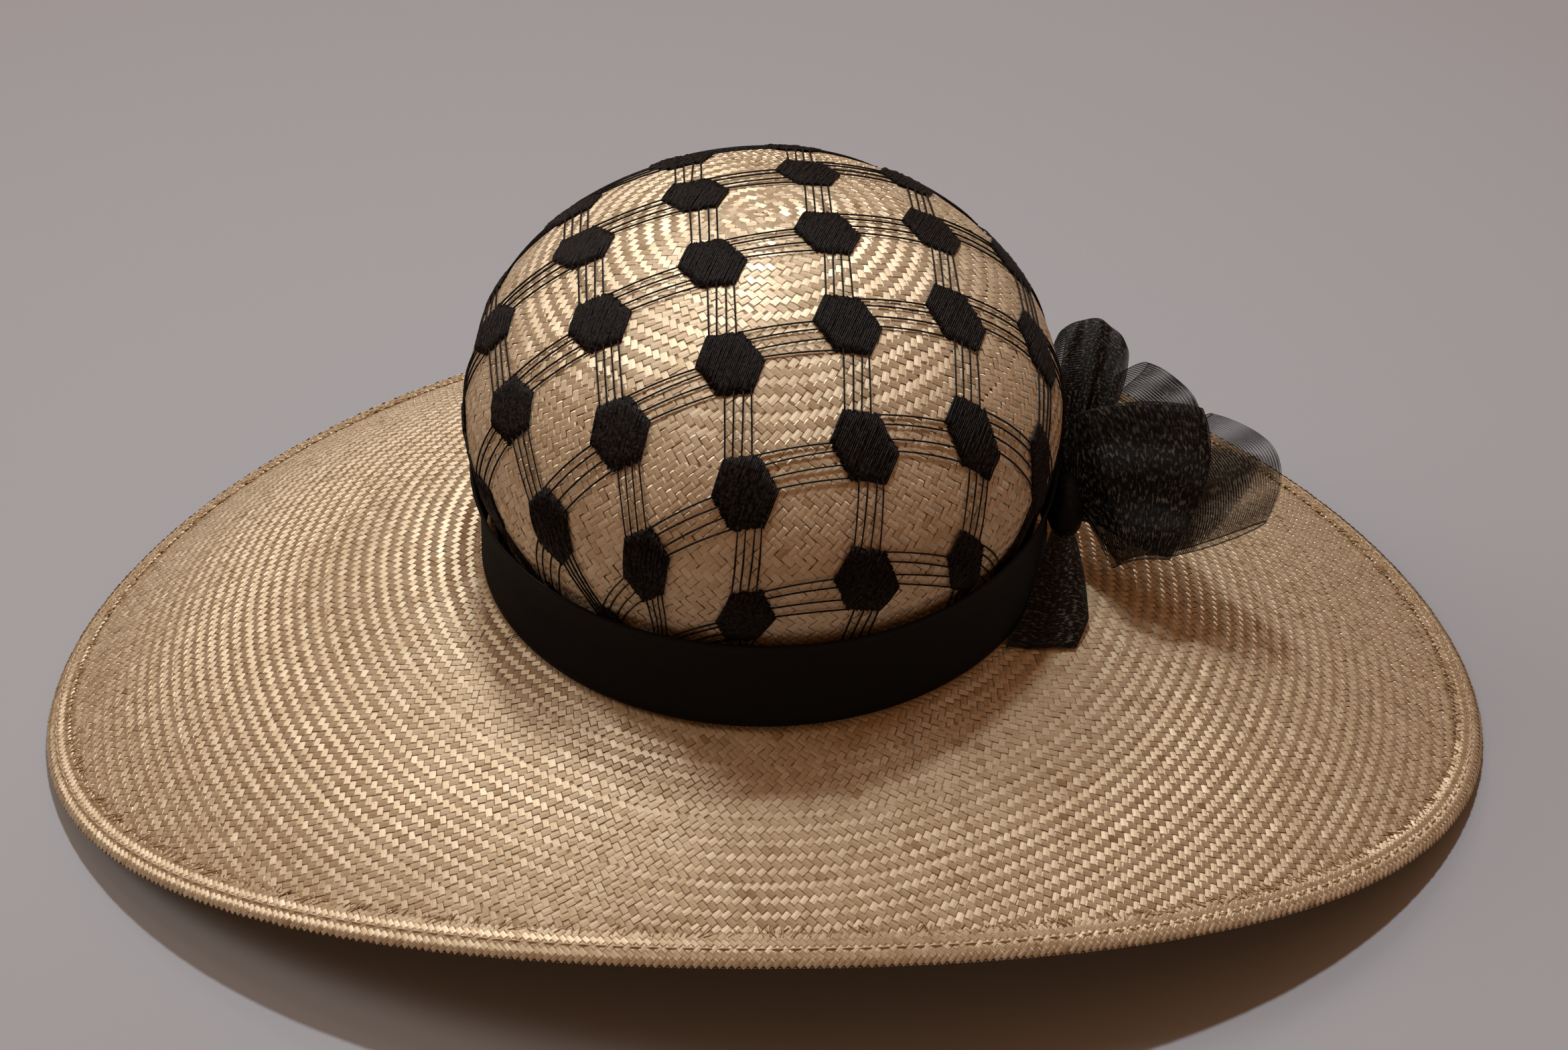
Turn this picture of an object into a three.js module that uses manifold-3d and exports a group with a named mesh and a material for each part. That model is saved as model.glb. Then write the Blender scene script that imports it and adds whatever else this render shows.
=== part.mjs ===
// A wide-brim straw hat: a domed crown, an oval brim that falls at its sides, a ribbon band,
// a spotted net over the crown and a sheer bow on the wearer's left. Millimetres, +Z up.
// The hat stands on the two low sides of its brim, and the front of the hat faces -Y.
import * as THREE from "three";
import { mergeVertices } from "three/addons/utils/BufferGeometryUtils.js";
import Module from "manifold-3d";

// Head oval, at the outside of the crown's foot
const HEAD_RADIUS = 92;
const OVAL_ACROSS = 0.933;
const OVAL_DEEP = 1.067;
const AXIS_Y = -7.7;

// Crown
const CROWN_WALL = 1.4;
const CROWN_HEIGHT = 119.3;
const CROWN_BULGE_RADIUS = 100;
const CROWN_BULGE_HEIGHT = 51;
const CROWN_STRAIGHT_HEIGHT = 16;
const CROWN_SIDES = 48;
const DOME_RINGS = 8;
const FOOT_RINGS = [44, 37, 30, 23, 16, 0];

// Brim: half sizes of its oval edge, and how it falls away from the head on each side
const BRIM_HALF_WIDTH = 235;
const BRIM_HALF_DEPTH = 182.5;
const BRIM_WALL = 1.6;
const BRIM_SIDES = 56;
const BRIM_RINGS = 6;
const SIDE_DROP = 73.5;
const BRIM_FALL = {
  front: { slopeIn: 17, drop: 32.5 },
  back: { slopeIn: 16, drop: 39 },
  left: { slopeIn: 6, drop: SIDE_DROP },
  right: { slopeIn: 19, drop: SIDE_DROP },
};
const HEM_WIDTH = 10;
const HEM_WALL = 3.2;
const HEM_STEP = 0.5;
const HEM_LIFT = 0.8;
const COLLAR_HEIGHT = 12;
const COLLAR_WALL = 1.2;
const COLLAR_SETBACK = 2.6;
const SEAT_GAP = 0.3;

// Height of the crown's foot above the surface that the hat stands on
const FOOT_HEIGHT = SIDE_DROP + SEAT_GAP + BRIM_WALL;

// Band
const BAND_HEIGHT = 32.5;
const BAND_FOOT = 0.6;
const BAND_ROWS = [1, 0.75, 0.5, 0];
const BAND_WALL = 1.2;
const BAND_OFFSET = 3;

// Net: a lattice of hexagon spots, each tied to four neighbours by a bundle of threads. Its
// centre is the spot nearest the tip, on the crown laid flat from the tip, and its two thread
// directions start there: pitch of the spots, heading in degrees and bend from spot to spot
const NET_CENTRE = { x: 20.9, y: -8.8 };
const NET_AXES = {
  across: { pitch: 38.5, heading: 24, bend: 2.9 },
  along: { pitch: 40.7, heading: 99.5, bend: -1 },
};
const NET_OFFSET = 0.95;
const NET_WALL = 0.8;
const NET_REACH = 7;
const NET_FINE = 4;
const NET_FOOT = 24;
const SPOT_OVERHANG = 13;
const SPOT_CORNERS = [
  { across: -0.139, along: 0.31 },
  { across: 0.139, along: 0.218 },
  { across: 0.278, along: -0.093 },
  { across: 0.139, along: -0.31 },
  { across: -0.139, along: -0.218 },
  { across: -0.278, along: 0.093 },
];
const THREAD_STEPS = 3;

// Bow: where its knot sits on the band, and each loop's direction, roll and size
const CLOTH_WALL = 1;
const KNOT = { y: -8, z: 17, halfOut: 6, halfAlong: 9, halfTall: 10 };
const KNOT_PLEATS = 5;
const KNOT_PLEAT_DEPTH = 0.6;
const KNOT_SIDES = 16;
const KNOT_RINGS = 8;
const LOOP_STEPS = 18;
const LOOP_STRIPS = 5;
const LOOP_PINCH = 4;
const LOOP_END_GAP = 1.3;
const LOOP_ROUNDING = 0.1;
const LOOP_WAVES = 2.5;
const LOOP_GATHER_REACH = 0.9;
const BOW_LOOPS = [
  { name: "bow_loop_lower", start: 7, turn: 15, rise: -1, roll: 32, shift: -4.5 },
  { name: "bow_loop_front", start: 6.4, turn: -6, rise: 2, roll: 58, shift: 4 },
  { name: "bow_loop_middle", start: 8.8, turn: 30, rise: 27, roll: 42, shift: -1.6 },
  { name: "bow_loop_upper", start: 10.6, turn: 57, rise: 59, roll: 46, shift: 0.4 },
];
const LOOP_SIZES = {
  bow_loop_lower: { length: 66, width: 42, open: 9, wave: 1.2 },
  bow_loop_front: { length: 34, width: 26, open: 5, wave: 0.8 },
  bow_loop_middle: { length: 53, width: 32, open: 6, wave: 1 },
  bow_loop_upper: { length: 48, width: 25, open: 7, wave: 1.2 },
};

// Tail: its edge near the band and its far edge, by turn round the head, distance out on the
// brim and lift above the brim
const TAIL_STEPS = 10;
const TAIL_STRIPS = 4;
const TAIL_STATIONS = [
  { nearTurn: -11, nearOut: 6, farTurn: -9.6, farOut: 14, lift: 16.5 },
  { nearTurn: -19, nearOut: 4.8, farTurn: -15, farOut: 18, lift: 11 },
  { nearTurn: -27, nearOut: 5, farTurn: -21, farOut: 22, lift: 4 },
  { nearTurn: -36, nearOut: 5.5, farTurn: -28, farOut: 22, lift: 0.9 },
];

const STRAW = new THREE.MeshStandardMaterial({ color: 0xd9bf94, roughness: 0.55, metalness: 0 });
const RIBBON = new THREE.MeshStandardMaterial({ color: 0x0c0b0b, roughness: 0.6, metalness: 0 });
const NET = new THREE.MeshStandardMaterial({ color: 0x0e0c0b, roughness: 0.7, metalness: 0 });
const SHEER = new THREE.MeshStandardMaterial({ color: 0x12100f, roughness: 0.5, metalness: 0 });

const NEAR_ZERO = 1e-6;
const radians = THREE.MathUtils.degToRad;
const ease = THREE.MathUtils.smoothstep;
const mix = THREE.MathUtils.lerp;

// Closed solid from a net of faces, each corner of which has an outer and an inner point.
// The outer faces keep their order, the inner ones are turned round, and edges that only
// one face has get a wall between the two sides.
function wallSolid(corners, faces) {
  const positions = [];
  for (const { outer } of corners) positions.push(outer.x, outer.y, outer.z);
  for (const { inner } of corners) positions.push(inner.x, inner.y, inner.z);
  const shift = corners.length;
  const index = [];
  const edges = new Map();
  for (const [a, b, c] of faces) {
    index.push(a, b, c, a + shift, c + shift, b + shift);
    for (const [from, to] of [[a, b], [b, c], [c, a]]) {
      if (!edges.delete(to + "," + from)) edges.set(from + "," + to, [from, to]);
    }
  }
  for (const [from, to] of edges.values()) {
    index.push(from, from + shift, to + shift, from, to + shift, to);
  }
  const geometry = new THREE.BufferGeometry();
  geometry.setAttribute("position", new THREE.Float32BufferAttribute(positions, 3));
  geometry.setIndex(index);
  return geometry;
}

// Triangles of a grid of rows by columns, closed on itself across the columns where asked
function gridFaces(rows, columns, closed) {
  const faces = [];
  const spans = closed ? columns : columns - 1;
  for (let row = 0; row + 1 < rows; row += 1) {
    for (let column = 0; column < spans; column += 1) {
      const next = (column + 1) % columns;
      const a = row * columns + column;
      const b = row * columns + next;
      const c = (row + 1) * columns + next;
      const d = (row + 1) * columns + column;
      faces.push([a, c, b], [a, d, c]);
    }
  }
  return faces;
}

// Corner pair either side of a point, along a unit direction
function pair(point, direction, wall) {
  return {
    outer: point.clone().addScaledVector(direction, wall / 2),
    inner: point.clone().addScaledVector(direction, -wall / 2),
  };
}

// Crown's outer profile from tip to foot: mean radius and height at each distance along it
const crownProfile = [];
{
  const profileSteps = 160;
  const dome = CROWN_HEIGHT - CROWN_BULGE_HEIGHT;
  const places = [];
  for (let step = 0; step <= profileSteps; step += 1) {
    const angle = (Math.PI / 2) * (1 - step / profileSteps);
    places.push({
      radius: CROWN_BULGE_RADIUS * Math.cos(angle),
      height: CROWN_BULGE_HEIGHT + dome * Math.sin(angle),
    });
  }
  for (let step = 1; step <= profileSteps; step += 1) {
    const height = CROWN_BULGE_HEIGHT * (1 - step / profileSteps);
    const part = (height - CROWN_STRAIGHT_HEIGHT) / (CROWN_BULGE_HEIGHT - CROWN_STRAIGHT_HEIGHT);
    const out = (1 - Math.cos(Math.PI * Math.max(part, 0))) / 2;
    places.push({ radius: mix(HEAD_RADIUS, CROWN_BULGE_RADIUS, out), height });
  }
  let travel = 0;
  places.forEach((place, step) => {
    const last = places[Math.max(step - 1, 0)];
    travel += Math.hypot(place.radius - last.radius, place.height - last.height);
    crownProfile.push({ ...place, travel });
  });
}
const CROWN_REACH = crownProfile.at(-1).travel;

// Distance down from the tip to a height on the lower part of the crown
function travelTo(height) {
  return crownProfile.find((place) => place.height <= height + NEAR_ZERO).travel;
}
const DOME_REACH = travelTo(CROWN_BULGE_HEIGHT);

// Radius and height on the crown's profile, straight down below its foot
function profileAt(travel) {
  if (travel >= CROWN_REACH) return { radius: HEAD_RADIUS, height: CROWN_REACH - travel };
  const step = crownProfile.findIndex((place) => place.travel > travel);
  const high = crownProfile[step];
  const low = crownProfile[step - 1];
  const part = (travel - low.travel) / (high.travel - low.travel);
  return { radius: mix(low.radius, high.radius, part), height: mix(low.height, high.height, part) };
}

// Point on the crown at a distance down from its tip and a turn round it, moved out by offset
function crownPoint(travel, turn, offset) {
  const slip = 0.5;
  const at = profileAt(travel);
  const before = profileAt(Math.max(travel - slip, 0));
  const after = profileAt(travel + slip);
  const fall = Math.hypot(after.radius - before.radius, after.height - before.height);
  const out = (before.height - after.height) / fall;
  const up = (after.radius - before.radius) / fall;
  const radius = at.radius + out * offset;
  return new THREE.Vector3(
    radius * OVAL_ACROSS * Math.cos(turn),
    AXIS_Y + radius * OVAL_DEEP * Math.sin(turn),
    FOOT_HEIGHT + at.height + up * offset,
  );
}

// Crown: rings of corners from the tip down to an open foot
function crownGeometry() {
  const tip = new THREE.Vector3(0, AXIS_Y, FOOT_HEIGHT + CROWN_HEIGHT);
  const corners = [{ outer: tip, inner: tip.clone().setZ(tip.z - CROWN_WALL) }];
  const rings = [];
  for (let ring = 1; ring <= DOME_RINGS; ring += 1) rings.push((DOME_REACH * ring) / DOME_RINGS);
  for (const height of FOOT_RINGS) rings.push(travelTo(height));
  for (const travel of rings) {
    for (let side = 0; side < CROWN_SIDES; side += 1) {
      const turn = (2 * Math.PI * side) / CROWN_SIDES;
      corners.push({
        outer: crownPoint(travel, turn, 0),
        inner: crownPoint(travel, turn, -CROWN_WALL),
      });
    }
  }
  const faces = gridFaces(rings.length, CROWN_SIDES, true);
  const shifted = faces.map((face) => face.map((corner) => corner + 1));
  for (let side = 0; side < CROWN_SIDES; side += 1) {
    shifted.push([0, 1 + side, 1 + ((side + 1) % CROWN_SIDES)]);
  }
  return wallSolid(corners, shifted);
}

// Brim's fall below the head at a distance out from it, blended from the four sides
function brimFall(turn, out, width) {
  const across = Math.cos(turn) ** 2;
  const side = Math.cos(turn) < 0 ? BRIM_FALL.left : BRIM_FALL.right;
  const end = Math.sin(turn) < 0 ? BRIM_FALL.front : BRIM_FALL.back;
  const slope = mix(Math.tan(radians(end.slopeIn)), Math.tan(radians(side.slopeIn)), across);
  const drop = mix(end.drop, side.drop, across);
  return slope * out + (drop - slope * width) * (out / width) ** 2;
}

// Head oval, brim edge and the way between them at one turn round the head
function brimWay(turn) {
  const head = new THREE.Vector2(
    HEAD_RADIUS * OVAL_ACROSS * Math.cos(turn),
    AXIS_Y + HEAD_RADIUS * OVAL_DEEP * Math.sin(turn),
  );
  const edge = new THREE.Vector2(
    BRIM_HALF_WIDTH * Math.cos(turn),
    BRIM_HALF_DEPTH * Math.sin(turn),
  );
  return { head, away: edge.clone().sub(head).normalize(), width: edge.distanceTo(head) };
}

// Brim's middle line at one turn round the head, from the collar's top out to the edge
function brimSection(turn) {
  const { head, away, width } = brimWay(turn);
  const level = -SEAT_GAP - BRIM_WALL / 2;
  const stations = [
    { out: -COLLAR_SETBACK, height: COLLAR_HEIGHT, wall: COLLAR_WALL, lift: 0 },
    { out: -COLLAR_SETBACK, height: level, wall: COLLAR_WALL, lift: 0 },
  ];
  const inside = width - HEM_WIDTH;
  for (let ring = 0; ring <= BRIM_RINGS; ring += 1) {
    const out = (inside * ring) / BRIM_RINGS;
    stations.push({ out, height: level - brimFall(turn, out, width), wall: BRIM_WALL, lift: 0 });
  }
  for (const out of [inside + HEM_STEP, width]) {
    const height = level - brimFall(turn, out, width);
    stations.push({ out, height, wall: HEM_WALL, lift: HEM_LIFT });
  }
  return { head, away, stations };
}

// Brim: each section's corners stand off its middle line, mitred where the line turns
function brimGeometry() {
  const corners = [];
  for (let side = 0; side < BRIM_SIDES; side += 1) {
    const { head, away, stations } = brimSection((2 * Math.PI * side) / BRIM_SIDES);
    const line = stations.map(({ out, height }) => new THREE.Vector2(out, height));
    const normals = line.slice(1).map((point, step) => {
      const travel = point.clone().sub(line[step]).normalize();
      return new THREE.Vector2(-travel.y, travel.x);
    });
    stations.forEach(({ wall, lift }, step) => {
      const first = normals[Math.max(step - 1, 0)];
      const second = normals[Math.min(step, normals.length - 1)];
      const normal = first.clone().add(second).normalize();
      const reach = 1 / normal.dot(first);
      const place = (offset) => {
        const spot = line[step].clone().addScaledVector(normal, offset * reach);
        return new THREE.Vector3(
          head.x + away.x * spot.x,
          head.y + away.y * spot.x,
          FOOT_HEIGHT + spot.y,
        );
      };
      corners.push({ outer: place(wall / 2 + lift), inner: place(lift - wall / 2) });
    });
  }
  const across = corners.length / BRIM_SIDES;
  const faces = [];
  for (let side = 0; side < BRIM_SIDES; side += 1) {
    const here = side * across;
    const next = ((side + 1) % BRIM_SIDES) * across;
    for (let step = 0; step + 1 < across; step += 1) {
      faces.push([here + step, here + step + 1, next + step + 1]);
      faces.push([here + step, next + step + 1, next + step]);
    }
  }
  return wallSolid(corners, faces);
}

// Band: a plain ring that follows the crown, clear of the net that runs under it
function bandGeometry() {
  const corners = [];
  for (const part of BAND_ROWS) {
    const height = BAND_FOOT + BAND_HEIGHT * part;
    const travel = travelTo(height);
    for (let side = 0; side < CROWN_SIDES; side += 1) {
      const turn = (2 * Math.PI * side) / CROWN_SIDES;
      corners.push({
        outer: crownPoint(travel, turn, BAND_OFFSET + BAND_WALL).setZ(FOOT_HEIGHT + height),
        inner: crownPoint(travel, turn, BAND_OFFSET).setZ(FOOT_HEIGHT + height),
      });
    }
  }
  return wallSolid(corners, gridFaces(BAND_ROWS.length, CROWN_SIDES, true));
}

// A place on the crown is a flat pair that has the place's travel from the tip as its length.
// The net's fine grid keeps the length of both thread directions, and only the angle between
// them changes, as a net does when it is drawn over a dome.
const crownAt = (flat, offset) => crownPoint(flat.length(), flat.angle(), offset);
const SOLVE_ROUNDS = 12;
const SOLVE_SLIP = 0.05;
const SOLVE_LEAST = 1e-4;

// Places along one thread direction from the net's centre, at equal steps on the crown
function netLine({ pitch, heading, bend }, sign, count) {
  const step = pitch / NET_FINE;
  const places = [new THREE.Vector2(NET_CENTRE.x, NET_CENTRE.y)];
  for (let k = 1; k <= count; k += 1) {
    const last = places[k - 1];
    const angle = radians(heading + (sign * bend * (k - 0.5)) / NET_FINE);
    const way = new THREE.Vector2(Math.cos(angle), Math.sin(angle)).multiplyScalar(sign * step);
    for (let round = 0; round < SOLVE_ROUNDS; round += 1) {
      way.multiplyScalar(step / crownAt(last.clone().add(way), 0).distanceTo(crownAt(last, 0)));
    }
    places.push(last.clone().add(way));
  }
  return places;
}

// Place that is one step from each of two neighbours, found from the far corner of their cell
function nextInNet(left, below, corner) {
  const found = left.clone().add(below).sub(corner);
  const from = [crownAt(left, 0), crownAt(below, 0)];
  const steps = [NET_AXES.across.pitch / NET_FINE, NET_AXES.along.pitch / NET_FINE];
  const most = Math.max(...steps);
  const miss = (flat) => from.map((point, k) => crownAt(flat, 0).distanceTo(point) - steps[k]);
  for (let round = 0; round < SOLVE_ROUNDS; round += 1) {
    const here = miss(found);
    const slope = (flat) => miss(flat).map((value, k) => (value - here[k]) / SOLVE_SLIP);
    const [fx, gx] = slope(found.clone().setX(found.x + SOLVE_SLIP));
    const [fy, gy] = slope(found.clone().setY(found.y + SOLVE_SLIP));
    const det = fx * gy - fy * gx;
    if (Math.abs(det) < SOLVE_LEAST) break;
    found.x -= THREE.MathUtils.clamp((here[0] * gy - here[1] * fy) / det, -most, most);
    found.y -= THREE.MathUtils.clamp((here[1] * fx - here[0] * gx) / det, -most, most);
  }
  return found;
}

const netGrid = new Map();
{
  const reach = NET_REACH * NET_FINE;
  const key = (i, j) => i + "," + j;
  for (const sign of [-1, 1]) {
    netLine(NET_AXES.across, sign, reach).forEach((place, k) => netGrid.set(key(sign * k, 0), place));
    netLine(NET_AXES.along, sign, reach).forEach((place, k) => netGrid.set(key(0, sign * k), place));
  }
  for (const signI of [-1, 1]) {
    for (const signJ of [-1, 1]) {
      for (let i = 1; i <= reach; i += 1) {
        for (let j = 1; j <= reach; j += 1) {
          const left = netGrid.get(key(signI * (i - 1), signJ * j));
          const below = netGrid.get(key(signI * i, signJ * (j - 1)));
          const corner = netGrid.get(key(signI * (i - 1), signJ * (j - 1)));
          netGrid.set(key(signI * i, signJ * j), nextInNet(left, below, corner));
        }
      }
    }
  }
}

// Flat place of a point of the net, between the four corners of its fine cell
function netFlat(across, along) {
  const i = Math.floor(across * NET_FINE);
  const j = Math.floor(along * NET_FINE);
  const u = across * NET_FINE - i;
  const v = along * NET_FINE - j;
  const at = (a, b) => netGrid.get(i + a + "," + (j + b));
  const low = at(0, 0).clone().lerp(at(1, 0), u);
  const high = at(0, 1).clone().lerp(at(1, 1), u);
  return low.lerp(high, v);
}

// Net: spots and thread bundles as one pierced shell, cut off level behind the band
function netGeometry(wasm) {
  const corners = [];
  const faces = [];
  const known = new Map();
  const corner = (across, along) => {
    const name = across.toFixed(4) + "," + along.toFixed(4);
    if (!known.has(name)) {
      const flat = netFlat(across, along);
      known.set(name, corners.length);
      corners.push({ outer: crownAt(flat, NET_OFFSET + NET_WALL), inner: crownAt(flat, NET_OFFSET) });
    }
    return known.get(name);
  };
  const lowest = FOOT_HEIGHT + NET_FOOT;
  const spotCorner = (i, j, k) => ({ across: i + SPOT_CORNERS[k].across, along: j + SPOT_CORNERS[k].along });
  const bundle = (fromLeft, fromRight, toLeft, toRight) => {
    let last = [fromLeft, fromRight];
    for (let step = 1; step <= THREAD_STEPS; step += 1) {
      const part = step / THREAD_STEPS;
      const between = (a, b) => ({
        across: mix(a.across, b.across, part),
        along: mix(a.along, b.along, part),
      });
      const now = [between(fromLeft, toLeft), between(fromRight, toRight)];
      const [a, b, c, d] = [last[0], last[1], now[1], now[0]].map((p) => corner(p.across, p.along));
      const gap = (from, to) => corners[from].outer.distanceTo(corners[to].outer);
      if (gap(a, c) < gap(b, d)) faces.push([a, b, c], [a, c, d]);
      else faces.push([a, b, d], [b, c, d]);
      last = now;
    }
  };
  const shows = (i, j) => {
    if (Math.max(Math.abs(i), Math.abs(j)) >= NET_REACH - 1) return false;
    return crownAt(netFlat(i, j), 0).z > lowest - SPOT_OVERHANG;
  };
  for (let i = -NET_REACH; i < NET_REACH; i += 1) {
    for (let j = -NET_REACH; j < NET_REACH; j += 1) {
      if (shows(i, j)) {
        const middle = corner(i, j);
        SPOT_CORNERS.forEach((_, k) => {
          const here = spotCorner(i, j, k);
          const next = spotCorner(i, j, (k + 1) % SPOT_CORNERS.length);
          faces.push([middle, corner(next.across, next.along), corner(here.across, here.along)]);
        });
      }
      if (shows(i, j) || shows(i, j + 1)) {
        bundle(spotCorner(i, j, 0), spotCorner(i, j, 1), spotCorner(i, j + 1, 4), spotCorner(i, j + 1, 3));
      }
      if (shows(i, j) || shows(i + 1, j)) {
        bundle(spotCorner(i, j, 1), spotCorner(i, j, 2), spotCorner(i + 1, j, 5), spotCorner(i + 1, j, 4));
      }
    }
  }
  const knifeSize = BRIM_HALF_WIDTH * 2;
  const knife = new THREE.BoxGeometry(knifeSize, knifeSize, knifeSize);
  knife.translate(0, 0, lowest - knifeSize / 2);
  return fromSolid(toSolid(wasm, wallSolid(corners, faces)).subtract(toSolid(wasm, knife)));
}

// Geometry with one vertex at each place, so that the faces of a closed shape share them
function mergedByPlace(geometry) {
  geometry.deleteAttribute("normal");
  geometry.deleteAttribute("uv");
  return mergeVertices(geometry);
}

function toSolid(wasm, geometry) {
  const merged = mergedByPlace(geometry);
  const vertProperties = merged.getAttribute("position").array;
  const triVerts = new Uint32Array(merged.index.array);
  return new wasm.Manifold(new wasm.Mesh({ numProp: 3, vertProperties, triVerts }));
}

function fromSolid(solid) {
  const mesh = solid.getMesh();
  const geometry = new THREE.BufferGeometry();
  geometry.setAttribute("position", new THREE.BufferAttribute(mesh.vertProperties, 3));
  geometry.setIndex(new THREE.BufferAttribute(mesh.triVerts, 1));
  return geometry;
}

// Sheet of cloth as a thin wall: a grid of points, thickened along its own normals
function clothGeometry(rows, columns, pointAt) {
  const slip = 1e-3;
  const corners = [];
  for (let row = 0; row < rows; row += 1) {
    for (let column = 0; column < columns; column += 1) {
      const u = row / (rows - 1);
      const v = column / (columns - 1);
      const alongU = pointAt(u + slip, v).sub(pointAt(u - slip, v));
      const alongV = pointAt(u, v + slip).sub(pointAt(u, v - slip));
      corners.push(pair(pointAt(u, v), alongU.cross(alongV).normalize(), CLOTH_WALL));
    }
  }
  return wallSolid(corners, gridFaces(rows, columns, false));
}

// The knot's middle, with its back against the band
const bandOut = (HEAD_RADIUS + BAND_OFFSET + BAND_WALL) * OVAL_ACROSS;
const knotPlace = new THREE.Vector3(
  bandOut + KNOT.halfOut - KNOT_PLEAT_DEPTH,
  KNOT.y + AXIS_Y,
  KNOT.z + FOOT_HEIGHT,
);

// Bow loop: a ribbon that leaves the knot pinched, opens to its full width, turns at its tip
// and comes back, with soft waves where it is gathered
function loopGeometry({ name, start, turn, rise, roll, shift }) {
  const { length, width, open, wave } = LOOP_SIZES[name];
  const basis = new THREE.Matrix4().makeRotationZ(radians(turn));
  basis.multiply(new THREE.Matrix4().makeRotationY(-radians(rise)));
  basis.multiply(new THREE.Matrix4().makeRotationX(radians(roll)));
  const outward = new THREE.Vector3();
  const across = new THREE.Vector3();
  const lift = new THREE.Vector3();
  basis.extractBasis(outward, across, lift);
  const pointAt = (u, v) => {
    const round = 2 * Math.PI * u;
    const spread = v * 2 - 1;
    const reach = (1 - Math.cos(round)) / 2;
    const gather = 1 - ease(reach, 0, LOOP_GATHER_REACH);
    const half = mix(width / 2, LOOP_PINCH, gather);
    const out = start + length * reach * (1 - LOOP_ROUNDING * spread ** 2);
    const swell = shift + open * Math.sin(round) * reach + LOOP_END_GAP * Math.cos(round / 2);
    const halfway = 4 * gather * reach;
    const ripple = wave * halfway * Math.cos(LOOP_WAVES * Math.PI * spread);
    return knotPlace.clone()
      .addScaledVector(outward, out)
      .addScaledVector(across, half * spread)
      .addScaledVector(lift, swell + ripple);
  };
  return clothGeometry(LOOP_STEPS + 1, LOOP_STRIPS + 1, pointAt);
}

// Knot: a short barrel of gathered ribbon, pleated round its middle
function knotGeometry() {
  const geometry = new THREE.SphereGeometry(1, KNOT_SIDES, KNOT_RINGS);
  const position = geometry.getAttribute("position");
  const spot = new THREE.Vector3();
  for (let k = 0; k < position.count; k += 1) {
    spot.fromBufferAttribute(position, k);
    const pleat = 1 - (KNOT_PLEAT_DEPTH / KNOT.halfTall) * (1 + Math.cos(KNOT_PLEATS * Math.PI * spot.y));
    const round = 1 / Math.sqrt(Math.max(Math.hypot(spot.x, spot.z), NEAR_ZERO));
    position.setXYZ(
      k,
      spot.x * round * KNOT.halfOut * pleat,
      spot.y * KNOT.halfAlong,
      spot.z * round * KNOT.halfTall * pleat,
    );
  }
  return mergedByPlace(geometry).translate(knotPlace.x, knotPlace.y, knotPlace.z);
}

// Tail: one end of the bow's ribbon, from the knot forward along the band and down to the brim
function tailGeometry() {
  const last = TAIL_STATIONS.length - 1;
  const pointAt = (u, v) => {
    const step = THREE.MathUtils.clamp(Math.floor(u * last), 0, last - 1);
    const part = u * last - step;
    const at = (column) => mix(TAIL_STATIONS[step][column], TAIL_STATIONS[step + 1][column], part);
    const turn = radians(mix(at("nearTurn"), at("farTurn"), v));
    const out = mix(at("nearOut"), at("farOut"), v);
    const { head, away, width } = brimWay(turn);
    return new THREE.Vector3(
      head.x + away.x * out,
      head.y + away.y * out,
      FOOT_HEIGHT - SEAT_GAP - brimFall(turn, out, width) + at("lift"),
    );
  };
  return clothGeometry(TAIL_STEPS + 1, TAIL_STRIPS + 1, pointAt);
}

const wasm = await Module();
wasm.setup();

const hat = new THREE.Group();
function addPiece(name, geometry, material) {
  const mesh = new THREE.Mesh(geometry, material.clone());
  mesh.name = name;
  hat.add(mesh);
}

addPiece("brim", brimGeometry(), STRAW);
addPiece("crown", crownGeometry(), STRAW);
addPiece("net_overlay", netGeometry(wasm), NET);
addPiece("hat_band", bandGeometry(), RIBBON);
addPiece("bow_knot", knotGeometry(), SHEER);
for (const loop of BOW_LOOPS) addPiece(loop.name, loopGeometry(loop), SHEER);
addPiece("bow_tail", tailGeometry(), SHEER);

export default hat;
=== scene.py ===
"""A wide-brim straw hat with a spotted net, a ribbon band and a sheer bow, dressed round its frame."""
import math

import bpy
import numpy as np
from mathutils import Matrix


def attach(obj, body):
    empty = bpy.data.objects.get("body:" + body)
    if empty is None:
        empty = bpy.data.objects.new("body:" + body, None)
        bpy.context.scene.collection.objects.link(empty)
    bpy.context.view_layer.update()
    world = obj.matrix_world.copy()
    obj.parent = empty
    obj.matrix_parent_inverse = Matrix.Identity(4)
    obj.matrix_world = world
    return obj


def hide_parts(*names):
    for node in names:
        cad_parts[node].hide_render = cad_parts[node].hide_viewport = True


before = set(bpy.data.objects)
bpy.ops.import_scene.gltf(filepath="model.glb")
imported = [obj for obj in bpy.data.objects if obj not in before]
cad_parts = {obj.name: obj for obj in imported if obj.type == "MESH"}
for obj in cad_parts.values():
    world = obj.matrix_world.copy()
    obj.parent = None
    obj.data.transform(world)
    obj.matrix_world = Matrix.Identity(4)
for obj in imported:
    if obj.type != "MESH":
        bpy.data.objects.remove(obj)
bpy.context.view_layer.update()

# The place where the hat is shown: a wide pale floor under a small lamp overhead and a soft fill from
# the left, in a dim warm room. The glints only show as shine, and bring out the straw's rows.
FLOOR_SIZE = 12.0
FLOOR_COLOUR = (0.38, 0.395, 0.43, 1)
FLOOR_ROUGHNESS = 0.9
LAMP_PLACE = (0.03, 0.21, 1.3)
LAMP_SIZE = 0.07
LAMP_POWER = 9
LAMP_COLOUR = (0.96, 1.0, 1.03)
GLINT_SIZE = 0.25
GLINTS = {
    "glint_left": ((-0.73, 0.42, 1.91), 18),
    "glint_right": ((0.73, 0.42, 1.91), 2.5),
    "glint_back": ((-0.2, 1.15, 1.75), 24),
    "glint_top": ((-0.065, 0.34, 1.4), 2.6),
}
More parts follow.
